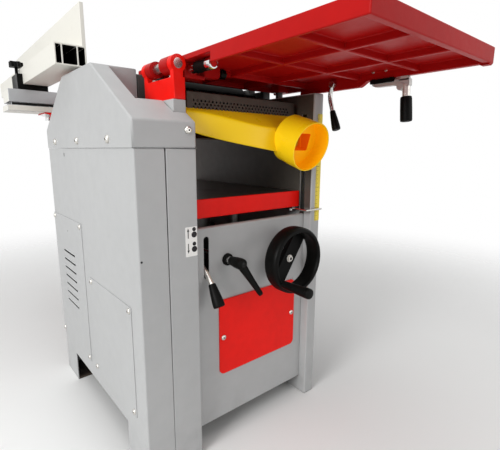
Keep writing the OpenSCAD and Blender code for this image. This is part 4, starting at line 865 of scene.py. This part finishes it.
def chute_channel(bm):
    """The swept channel, open at the back and at the mouth."""
    half = len(chute_path(MOUTH[0], 0)) // 2
    for low, high, steps, share in (
        (CHUTE[0], MOUTH[0], 44, "whole"),
        (*MOUTH, 6, "upper"),
        (*MOUTH, 6, "lower"),
        (MOUTH[1], CHUTE[1], 8, "whole"),
    ):
        rings = []
        for i in range(steps + 1):
            x = low + (high - low) * i / steps
            walls = [chute_path(x, wall) for wall in (0, CHUTE_WALL)]
            if share == "upper":
                walls = [path[:half] for path in walls]
            elif share == "lower":
                walls = [[Vector((x, path[half].y, MOUTH_LOW)), *path[half:]] for path in walls]
            rings.append([bm.verts.new(p) for p in (*walls[0], *reversed(walls[1]))])
        capped(bm, rings)
        # Painted shade: the channel's inner wall takes the orange of finish 1.
        for ring in rings:
            for v in ring[len(ring) // 2 :]:
                for face in v.link_faces:
                    face.material_index = 1
    # The end walls, with their inner faces in the orange painted shade.
    for end, inner in ((CHUTE[0], CHUTE[0] + CHUTE_WALL), (CHUTE[1], CHUTE[1] - CHUTE_WALL)):
        capped(bm, [[bm.verts.new(p) for p in chute_path(x, 1)] for x in (end, inner)], 1)


def dust_port(bm):
    """The round port: a sleeve with a lip and a rectangular mouth at its foot."""
    profile = [
        (1, 0), (1, 30), (50, 30), (50, 66.4), (50.7, 67.7), (52, 68), (53, 67), (53, 29.4),
        (52.2, 28.4), (52.2, 2), (1, 2), (1, 0), (1, 0),
    ]
    inner, outer = (30, 19), (33, 22)
    halves = {0: inner, 1: inner, 10: outer, 11: outer, 12: inner}

    # Finish 2 is the deeper painted shade of the mouth, finish 1 the orange painted shade inside the sleeve,
    # finish 0 the yellow outside.
    for first, last, finish in ((0, 2, 2), (1, 4, 1), (3, 13, 0)):

        def mouth(k, a):
            w, h = halves.get(first + k, (0, 0))
            return 1 / max(abs(math.cos(a)) / w, abs(math.sin(a)) / h) if w else 1

        turn(bm, PORT, PORT_AXIS, profile[first:last], PORT_STEPS, finish, False, mouth, X)


class PLANER_OT_dust_outlet(Operator):
    """Mould the dust chute with its port and hang the perforated chip guard"""

    bl_idname = "planer.dust_outlet"
    bl_label = "Dust outlet"

    def execute(self, context):
        bm = bmesh.new()
        chute_channel(bm)
        dust_port(bm)
        bmesh.ops.remove_doubles(bm, verts=bm.verts, dist=1e-3)
        stand_in("dust_outlet", bm, "dust_chute", ["yellow_shell", "yellow_inner", "yellow_deep"], 40)
        # The holes' walls take the black as painted shade.
        eased("chip_guard", 1.5 * MM, ["dark_steel_sheet", "black_ink"], hole_wall, shape=guard_shape)
        return {"FINISHED"}


WHEEL, SPOKE_LEAN, SHAFT_END = Vector((103, -290, 400)), math.radians(56), -299.0
CRANK = Vector((53.59, -336.2, 358.54))


def shaft_end(bm):
    """Ends the shaft inside the wheel's hub."""
    for v in bm.verts:
        v.co.y = max(v.co.y, SHAFT_END * MM)


class PLANER_OT_handwheel(Operator):
    """Make the handwheel, its bolt and the crank handle"""

    bl_idname = "planer.handwheel"
    bl_label = "Handwheel"

    def execute(self, context):
        rim = [
            (61.6, 14), (62.2, 10.4), (64, 8.2), (67.4, 7.8), (70.6, 9.2), (73.2, 12.6), (74.4, 18),
            (74.5, 28), (74.2, 36), (72.8, 41.6), (70.2, 44.6), (67, 45.6), (64, 44.8), (62.2, 42),
            (61.6, 38),
        ]
        boss = [
            (0, -27.4), (14.6, -27.4), (16, -26), (16, -2), (17.4, 0), (18.6, 1.4), (18.6, 11.4), (17, 13.2),
            (13, 13.8), (0, 13.8),
        ]
        spoke, spoke_depth, spoke_edge = round_box(130, 36, 3), 12.4, 2.4
        bm = bmesh.new()
        turn(bm, WHEEL, -Y, rim, 96, 0, True)
        turn(bm, WHEEL, -Y, boss)
        along = Vector((math.cos(SPOKE_LEAN), 0, math.sin(SPOKE_LEAN)))
        slab(bm, spoke, WHEEL - Y, along, along.cross(Y), spoke_depth, spoke_edge, 4)
        stand_in("handwheel_rim", bm, "handwheel", ["black_grip"])
        washer = [(0, 13.4), (8.6, 13.4), (8.6, 15), (8, 15.5), (0, 15.5)]
        bm = bmesh.new()
        turn(bm, WHEEL, -Y, washer, 40)
        socket_bolt(bm, WHEEL - 15.3 * Y, -Y, 6.4, 3.4)
        put("handwheel_bolt", bm, "wheel", ["screw_zinc", "dark_steel"])
        grip = [
            (0, 0), (6.6, 0), (7.8, 0.8), (8.3, 4), (8.8, 18), (9.6, 34), (10.5, 53), (11, 62), (11, 65.1),
            (10.5, 65.6), (10.5, 66.2), (11, 66.7), (11, 71.3), (10.2, 73.7), (8.6, 74.7), (0, 74.7),
        ]
        bm = bmesh.new()
        turn(bm, CRANK, -Y, grip)
        stand_in("crank_grip", bm, "crank_handle", ["black_grip"])
        eased("handwheel_shaft", 0, ["turned_steel"], shape=shaft_end)
        return {"FINISHED"}


# Levers in mm: the bend points of the feed and clamp levers along y and z, and the pivots.
FEED_X, FEED_BENDS = -84, ((-151.5, 426), (-242.5, 397), (-269.5, 372), (-295.5, 331))
FEED_SHAFT = (-149, -77)
CLAMP_X, CLAMP_BENDS = 232, ((-301.5, 786), (-294.5, 759), (-304.5, 727), (-318.5, 684))
LOCK, LOCK_HUB, LOCK_TIP = Vector((-32, 0, 411)), -265.5, Vector((9, -315, 340.5))
SWING_X, SWING_HALF, SWING_PIN = 244, 6.2, (-404, 775.5)
SWING_KNEE, SWING_NECK = Vector((SWING_X, -473, 766)), Vector((SWING_X, -474.5, 743))
SWING_EYE, SWING_HANG = (SWING_X - 7.5, -463.5, 763), (0, -4, -46)
LATCH = Vector((-95, -227.4, 786))


def flared_grip(bm, start, end, neck, wide):
    """A flared grip with a shoulder at its neck and a dished end."""
    span = (end - start).length
    profile = [
        (0, 0), (neck - 0.8, 0), (neck, 0.8), (neck + (wide - neck) * 0.25, span * 0.2),
        (neck + (wide - neck) * 0.66, span * 0.48), (wide, span * 0.8), (wide, span - 2.4),
        (wide - 0.7, span - 0.7), (wide - 2, span), (wide * 0.5, span - 0.5), (0, span - 0.7),
    ]
    turn(bm, start, end - start, profile, 40)


def lock_lever():
    """The lever that locks the table's height, its stud and its cap."""
    hub = LOCK + LOCK_HUB * Y
    foot, button_at = hub - 31 * Y, hub - 41.4 * Y
    collar_at, nut_at, stud_at = (LOCK + y * Y for y in (-251.9, -257.6, -252))
    collar = [(0, 0), (13, 0), (13, 4), (12, 5.6), (9, 6.2), (0, 6.2)]
    barrel = [
        (0, 0), (8.4, 0), (9.2, 1), (10, 8), (11.6, 20), (12.2, 33), (11.4, 38.4), (8.6, 41), (5.4, 41.8),
        (0, 41.8),
    ]
    taper = {0: 10.4, 0.12: 10.2, 0.3: 9.0, 0.55: 7.6, 0.8: 6.8, 0.94: 6.4, 0.99: 5.4, 1.0: 3.4}
    bm = bmesh.new()
    turn(bm, collar_at, -Y, collar, 48)
    turn(bm, hub, -Y, barrel)
    bar(bm, [foot + (LOCK_TIP - foot) * share for share in taper], list(taper.values()), 28, 0.88)
    stand_in("lock_lever_arm", bm, "lock_lever", ["black_grip"])
    nut = [(0, 0), (7.4, 0), (8.2, 0.8), (8.2, 7), (7.6, 8.2), (0, 8.2)]
    bm = bmesh.new()
    turn(bm, nut_at, -Y, nut, 40)
    pin(bm, stud_at, Y, 6, 242, 28)
    put("lock_stud", bm, "lock", ["bright_rod"])
    cap = [(0, 0), (5, 0), (5, 1.1), (4.2, 1.6), (3, 1.6), (2.6, 0.9), (0, 0.9)]
    bm = bmesh.new()
    turn(bm, button_at, -Y, cap, 28)
    put("lock_button", bm, "lock", ["black_gloss"])


def feed_lever():
    """The bent feed lever on its shaft."""
    pivot, knee, neck, end = (Vector((FEED_X, y, z)) for y, z in FEED_BENDS)
    in_grip = neck + (neck - knee).normalized() * 3
    bm = bmesh.new()
    bar(bm, rounded([pivot - 7 * Y, knee, in_grip], 16), 5.6)
    bar(bm, [(x, pivot.y, pivot.z) for x in FEED_SHAFT], 8, 28)
    stand_in("feed_lever_rod", bm, "feed_lever", ["lever_zinc"])
    bm = bmesh.new()
    flared_grip(bm, neck, end, 7.5, 12)
    stand_in("feed_lever_grip", bm, "feed_grip", ["black_grip"])


def clamp_lever(body, side, rod, *grips):
    """A table's clamp lever: a bent rod with a boss and a grip."""
    pivot, knee, neck, end = (Vector((CLAMP_X, side * y, z)) for y, z in CLAMP_BENDS)
    in_grip = neck + (neck - knee).normalized() * 4
    boss = [(0, 0), (7.2, 0), (8, 0.8), (8, 10), (7.2, 10.6), (0, 10.6)]
    bm = bmesh.new()
    bar(bm, rounded([pivot, knee, in_grip], 12), 5)
    turn(bm, pivot - 5 * X, X, boss, 36)
    pin(bm, pivot, X, 4, 16, 24)
    stand_in(body + "_arm", bm, rod, ["bright_rod"])
    bm = bmesh.new()
    flared_grip(bm, neck, end, 6.2, 9.6)
    put(body + "_handle", bm, body, ["black_grip"], grips)


def swing_lever():
    """The cast swing lever, its rod and its handle."""
    arm = [
        (-482, 764), (-481.3, 776.4), (-460.5, 776.4), (-459, 774), (-450, 773.6), (-402, 773.6),
        (-400, 771), (-408, 767.4), (-450, 766.6), (-461, 762), (-478, 761),
    ]
    horn = [(-481.4, 774), (-481, 779.6), (-478, 781.6), (-464, 781.6), (-459.4, 774)]
    axle = [(0, 0), (5, 0), (5.6, 0.6), (5.6, 57), (0, 57)]
    eye = [(0, 0), (7, 0), (7.6, 0.8), (7.6, 14.2), (7, 15), (0, 15)]
    bm = bmesh.new()
    side = (SWING_X - SWING_HALF, 0, 0)
    slab(bm, arm[::-1], side, Y, Z, 2 * SWING_HALF, 1.2, 3)
    slab(bm, horn[::-1], side, Y, Z, SWING_HALF, 1.0, 3)
    turn(bm, (SWING_X, *SWING_PIN), -Y, axle, 32)
    turn(bm, SWING_EYE, X, eye, 36)
    stand_in("swing_lever_arm", bm, "swing_lever", ["cast_silver"])
    bm = bmesh.new()
    pin(bm, SWING_KNEE, SWING_NECK - SWING_KNEE, 7.6, 26, 36)
    put("swing_lever_rod", bm, "swing", ["lever_zinc"])
    handle = [(0, 0), (9.4, 0), (10.6, 0.9), (11.2, 6), (11.5, 24), (11.5, 45)]
    handle += [(10.6, 47.6), (8, 48.4), (0, 48.4)]
    bm = bmesh.new()
    turn(bm, SWING_NECK, SWING_HANG, handle, 40)
    stand_in("swing_lever_handle", bm, "swing_grip", ["black_grip"])


def latch_handle():
    """The latch: a grip between chrome ends with a red button."""
    sleeve = [(0, 20), (9.6, 20), (10.5, 21.5), (10.5, 34), (9.8, 42), (10.1, 52)]
    sleeve += [(10.5, 57), (9.8, 58.5), (0, 58.5)]
    button = [(0, 73.4), (6.4, 73.4), (7.2, 72.6), (7.2, 71)]
    collar = [(0, 0), (8.6, 0), (9.6, 1), (9.6, 17), (8.8, 19), (8.8, 20.2), (0, 20.2)]
    cap = [(0, 58), (10.2, 58), (10.5, 59), (10.5, 71), (9.4, 73.4), (7.4, 74), (7.2, 71)]
    bolt = [(0, 0), (6, 0), (6, 21.4), (5.4, 22), (0, 22)]
    bm = bmesh.new()
    for profile, steps, finish in ((sleeve, 44, 0), (button, 40, 2), (collar, 44, 1), (cap, 44, 1)):
        turn(bm, LATCH, -Y, profile, steps, finish)
    turn(bm, LATCH, Y, bolt, 32, 1)
    stand_in("latch_grip", bm, "latch_handle", ["black_grip", "chrome", "red_cap"])


class PLANER_OT_levers(Operator):
    """Make the lock lever, the feed lever, the clamp levers, the swing lever and the latch"""

    bl_idname = "planer.levers"
    bl_label = "Levers"

    def execute(self, context):
        lock_lever()
        feed_lever()
        clamp_lever("outfeed_clamp", 1, "outfeed_clamp_rod", "outfeed_clamp_grip")
        clamp_lever("infeed_clamp", -1, "infeed_clamp_lever")
        swing_lever()
        latch_handle()
        return {"FINISHED"}


# The tables in mm: their ground top, the thicknesser bed, and the swing lever's seat under the outfeed table.
TABLE_TOP, BED_TOP = 807.5, 540.5
SEAT_X, SEAT_Z, SEAT_Y = 234.0, 781.8, (-482.0, -392.0)
SEAT_END, SEAT_LOW = 243.0, 774.6
FLANGE_X, FLANGE_THICK = 238.2, 11.6
STOP, WEB_FRONT, WEB_DEPTH = Vector((-28, -216, 788)), -205, 22
SEAT_PLATE, SEAT_BOLTS = (SEAT_X + 0.8, -423, 778.1), [(238, y, 798) for y in (-402, -431)]


def on_seat(x, y, z):
    """Whether a place lies on the seat of the swing lever."""
    return x > SEAT_X and z < SEAT_Z and SEAT_Y[0] < y < SEAT_Y[1]


def table_paint(centre, normal):
    """Ground on top, black on the seat of the swing lever, red elsewhere."""
    if normal.z > 0.95 and centre.z > TABLE_TOP:
        return 1
    return 2 if on_seat(*centre) else 0


def bed_paint(centre, normal):
    """The bed is ground on top, in a dark copy of the ground iron that is painted shade."""
    return int(normal.z > 0.95 and centre.z > BED_TOP)


def swing_seat(bm):
    """Keeps the seat of the swing lever short, above the lever's arm."""
    for v in bm.verts:
        x, y, z = v.co / MM
        if on_seat(x, y, z):
            v.co.x, v.co.z = min(x, SEAT_END) * MM, max(z, SEAT_LOW) * MM


def table_details():
    """The flange's curved end, end lug, latch web, seat plate, stop knob and small bolts."""
    curve = [(-366, 782.5), (-366, 772)] + [
        (-366 - 24 * k / 8, 772 + 10 * (1 - math.cos(math.pi * k / 8)) / 2) for k in range(1, 9)
    ]
    lug = [(-604, 783), (-606.5, 779.4), (-619, 779.4), (-621.6, 783)]
    web = [(-85, 803), (-85, 776)] + [
        (-36 + 8 * math.sin(a), 783.5 - 8 * math.cos(a)) for a in (math.pi / 2 * k / 6 for k in range(7))
    ] + [(-28, 803)]
    bm = bmesh.new()
    for outline in (curve[::-1], lug):
        slab(bm, outline, (FLANGE_X, 0, 0), Y, Z, FLANGE_THICK)
    slab(bm, web, (0, WEB_FRONT, 0), X, Z, WEB_DEPTH, 1.6, 3)
    put("table_webs", bm, "outfeed", ["cast_red"])
    bm = bmesh.new()
    slab(bm, round_box(53, 8.4, 1), SEAT_PLATE, Y, Z, 8.6, 0.8)
    put("swing_seat_plate", bm, "outfeed", ["black_grip"])
    knob = [(0, 6), (8, 6), (9.4, 7.4), (9.4, 17), (8, 19), (0, 19)]
    bm = bmesh.new()
    for spot in SEAT_BOLTS:
        hex_bolt(bm, spot, -X, 3.6, 3.2)
    pin(bm, STOP, X, 4, 6, 28, 1)
    turn(bm, STOP, X, knob, 36, 2, False, lambda k, a: 1 + 0.06 * math.cos(8 * a))
    put("table_stop", bm, "outfeed", ["screw_zinc", "brass_stock", "black_grip"])


class PLANER_OT_tables(Operator):
    """Finish the planing tables, the thicknesser table and its pointer"""

    bl_idname = "planer.tables"
    bl_label = "Tables"

    def execute(self, context):
        edge = sizes().casting_edge
        shades = ["cast_red", "ground_top", "black_grip"]
        for node in ("outfeed_table", "infeed_table"):
            eased(node, edge, shades, table_paint, shape=swing_seat)
        table_details()
        eased("thicknesser_table", edge, ["red_coat", "bed_top"], bed_paint)
        for node, finish in (
            ("depth_pointer", "bright_rod"), ("guide_post", "turned_steel"), ("lift_screw", "turned_steel"),
        ):
            eased(node, 0, [finish])
        return {"FINISHED"}


class PLANER_OT_head(Operator):
    """Finish the hinges, the bearing blocks, the cutter and the feed"""

    bl_idname = "planer.head"
    bl_label = "Hinges and head"

    def execute(self, context):
        edge = sizes().casting_edge
        eased("hinge_brackets", edge, ["red_coat"])
        for node in ("head_blocks", "lift_bridge", "gear_bracket", "feed_gearbox", "motor"):
            eased(node, edge, ["cast_stock"])
        for finish, nodes in {
            "bright_rod": ["fixed_shafts"],
            "turned_steel": ["bearings", "cutter_pulley", "motor_pulley"],
            "dark_steel": ["table_rests", "planer_knives", "rear_roller", "kickback_fingers", "feed_chain"],
            # Painted shade: the cutter block, its gibs and the front roller take near-black steel for their
            # shade in the head.
            "oiled_steel": ["cutter_block", "knife_gibs", "front_roller"],
            "brass_stock": ["bevel_gear"],
            "belt_stock": ["drive_belt"],
        }.items():
            for node in nodes:
                dress(node, finish)
        return {"FINISHED"}


# The fence in mm: the beam's hollow, the strip under the rail, the arm's plate and its clamp bolt.
BEAM_X, BEAM_Z = (-267.0, -207.0), (811.5, 851.5)
STRIP_LOW, STRIP_TOP = 754.5, 762.0
ARM_END, ARM_UNDER, ARM_THIN = -185.0, 725.0, 735.5
BOLT_AT, BOLT_REACH, BOLT_LOW, BOLT_END = (-214.0, 349.5), 9.0, 706.0, 717.0


def beam_paint(centre, normal):
    """The beam's hollow is painted dark as painted shade."""
    inside = BEAM_X[0] < centre.x < BEAM_X[1] and BEAM_Z[0] < centre.z < BEAM_Z[1]
    return int(inside and abs(normal.y) < 0.5)


def rail_paint(centre, normal):
    """A silver rail with a cream end, over a strip in black gloss as painted shade and a cream base."""
    if centre.z > STRIP_TOP:
        return int(normal.x < -0.9)
    # Painted shade: the inset strip under the rail is black.
    return 2 if centre.z > STRIP_LOW else 1


def arm_paint(centre, normal):
    """The clamp bolt under the arm is bright."""
    away = math.hypot(centre.x - BOLT_AT[0], centre.y - BOLT_AT[1])
    return int(away < BOLT_REACH and centre.z < ARM_UNDER + 0.5)


def arm_plate(bm):
    """Thins the arm's plate under the rail and lifts its clamp bolt."""
    for v in bm.verts:
        x, _, z = v.co / MM
        if x < ARM_END and abs(z - ARM_UNDER) < 1:
            v.co.z = ARM_THIN * MM
        elif x < ARM_END and z < BOLT_LOW:
            v.co.z = BOLT_END * MM


class PLANER_OT_fence(Operator):
    """Finish the fence, its foot, its rail and its bracket"""

    bl_idname = "planer.fence"
    bl_label = "Fence"

    def execute(self, context):
        s = sizes()
        # The beam's hollow takes the near-black steel as painted shade.
        eased("fence_beam", s.fine_edge, ["fence_cream", "oiled_steel"], beam_paint)
        eased("fence_rail", s.fine_edge, ["rail_silver", "fence_cream", "black_gloss"], rail_paint)
        for node in ("fence_foot", "fence_knob"):
            eased(node, s.fine_edge, ["black_grip"])
        eased("fence_bracket", s.casting_edge, ["red_coat", "chrome"], arm_paint, shape=arm_plate)
        return {"FINISHED"}


BUTTON_FOOT = (268, -170)
BUTTONS = (("start_button", 686, "green_cap"), ("stop_button", 634, "red_cap"))


class PLANER_OT_switch(Operator):
    """Mould the switch box and its two buttons"""

    bl_idname = "planer.switch"
    bl_label = "Switch"

    def execute(self, context):
        eased("switch_box", sizes().casting_edge, ["black_grip"])
        cap = [(0, 0), (12, 0), (12, 13.4), (11.4, 15.1), (10, 15.9), (9, 15.6), (7, 15), (0, 14.7)]
        for node, z, finish in BUTTONS:
            bm = bmesh.new()
            turn(bm, (*BUTTON_FOOT, z), X, cap, 44)
            stand_in(node + "_cap", bm, node, [finish])
        return {"FINISHED"}


# The camera's place in metres, its line of sight, its roll and its sensor.
CAMERA, CAMERA_AHEAD = Vector((-0.499, -0.880, 0.637)), Vector((0.6328, 0.7504, -0.1911))
CAMERA_ROLL, SENSOR = math.radians(0.29), 36
FLOOR_HALF, FLOOR_FADE = 4, (0.8, 2.6)
WHITE = (1, 1, 1, 1)
# Each lamp's width, its place and the point that it faces, in metres.
LAMPS = {
    "key": (1.5, (-3.0, -0.85, 1.6), (-0.1, -0.1, 0.5)),
    "fill": (1.4, (1.0, -2.7, 1.0), (0.05, -0.2, 0.5)),
    "top": (2.4, (-0.6, -0.5, 3.4), (-0.1, -0.1, 0.4)),
}


def pale_floor():
    """A pale floor that fades out away from the machine."""
    f = Finish("pale_floor")
    tint = f.wear(lin(240, 240, 239), 0.012, f.noise(3, 3))
    away = (f.axis("X") ** 2 + f.axis("Y") ** 2) ** 0.5
    shown = 1 - away.ramp(*FLOOR_FADE)
    f.done(tint, 0.62 + 0.08 * f.noise(8, 2), specular_ior_level=0.2, alpha=shown)
    bm = bmesh.new()
    bmesh.ops.create_grid(bm, x_segments=8, y_segments=8, size=FLOOR_HALF)
    mesh = bpy.data.meshes.new("floor")
    bm.to_mesh(mesh)
    bm.free()
    mesh.materials.append(f.material)
    floor = bpy.data.objects.new("floor", mesh)
    bpy.context.scene.collection.objects.link(floor)


def studio_sky(scene, ambient):
    """A soft sky that shows plain white to the camera, in reflections and through glass."""
    scene.world = bpy.data.worlds.new("studio")
    scene.world.use_nodes = True
    sky = Nodes(scene.world.node_tree)
    seen = 0
    for kind in ("Is Camera Ray", "Is Glossy Ray", "Is Transmission Ray"):
        ray = sky.node("ShaderNodeLightPath", out=kind)
        seen = ray.math("MAXIMUM", ray, seen)
    soft, plain = (
        sky.node("ShaderNodeBackground", None, {"Color": WHITE, "Strength": strength})
        for strength in (ambient, 1)
    )
    either = sky.node("ShaderNodeMixShader", None, {0: seen, 1: soft, 2: plain})
    sky.node("ShaderNodeOutputWorld", None, {"Surface": either})


def area_lamp(name, watts, size, at, towards):
    """A round soft lamp that faces a point."""
    light = bpy.data.lights.new(name, "AREA")
    light.energy = watts
    light.shape = "DISK"
    light.size = size
    lamp = bpy.data.objects.new(name, light)
    lamp.location = at
    lamp.rotation_euler = (Vector(towards) - Vector(at)).to_track_quat("-Z", "Y").to_euler()
    bpy.context.scene.collection.objects.link(lamp)


def aim_camera(scene, lens):
    """Sets up the camera and its line of sight."""
    data = bpy.data.cameras.new("Camera")
    data.lens = lens
    data.sensor_width = SENSOR
    data.sensor_fit = "HORIZONTAL"
    ahead = CAMERA_AHEAD.normalized()
    right = ahead.cross(Z).normalized()
    up = right.cross(ahead)
    turned = Matrix((right, up, -ahead)).transposed().to_4x4()
    camera = bpy.data.objects.new("Camera", data)
    camera.matrix_world = Matrix.Translation(CAMERA) @ turned @ Matrix.Rotation(CAMERA_ROLL, 4, "Z")
    scene.collection.objects.link(camera)
    scene.camera = camera


class PLANER_OT_stage(Operator):
    """Lay the floor, set the lamps and the camera"""

    bl_idname = "planer.stage"
    bl_label = "Stage"

    def execute(self, context):
        scene = context.scene
        stage = scene.planer_stage
        scene.view_settings.view_transform = "Standard"
        pale_floor()
        studio_sky(scene, stage.ambient)
        for name, (size, at, towards) in LAMPS.items():
            area_lamp(name.title() + " lamp", getattr(stage, name), size, at, towards)
        aim_camera(scene, stage.lens)
        return {"FINISHED"}


class PLANER_PT_panel(Panel):
    """Shows the planer's colours, sizes and stage, and a button for each step"""

    bl_idname = "PLANER_PT_panel"
    bl_label = "Planer thicknesser"
    bl_space_type = "VIEW_3D"
    bl_region_type = "UI"
    bl_category = "Planer"

    def draw(self, context):
        for group in ("planer_colours", "planer_sizes", "planer_stage"):
            box = self.layout.box()
            values = getattr(context.scene, group)
            for key in values.__annotations__:
                box.prop(values, key)
        for step in STEPS:
            self.layout.operator(step.bl_idname)


GROUPS = {"planer_colours": PlanerColours, "planer_sizes": PlanerSizes, "planer_stage": PlanerStage}
STEPS = (
    PLANER_OT_finishes,
    PLANER_OT_stand,
    PLANER_OT_fasteners,
    PLANER_OT_scale,
    PLANER_OT_dust_outlet,
    PLANER_OT_handwheel,
    PLANER_OT_levers,
    PLANER_OT_tables,
    PLANER_OT_head,
    PLANER_OT_fence,
    PLANER_OT_switch,
    PLANER_OT_stage,
)


def register():
    for cls in (*GROUPS.values(), *STEPS, PLANER_PT_panel):
        bpy.utils.register_class(cls)
    for key, group in GROUPS.items():
        setattr(bpy.types.Scene, key, PointerProperty(type=group))


def unregister():
    for key in GROUPS:
        delattr(bpy.types.Scene, key)
    for cls in (PLANER_PT_panel, *reversed(STEPS), *reversed(GROUPS.values())):
        bpy.utils.unregister_class(cls)


def main():
    register()
    for step in STEPS:
        group, name = step.bl_idname.split(".")
        getattr(getattr(bpy.ops, group), name)()


if __name__ == "__main__":
    main()
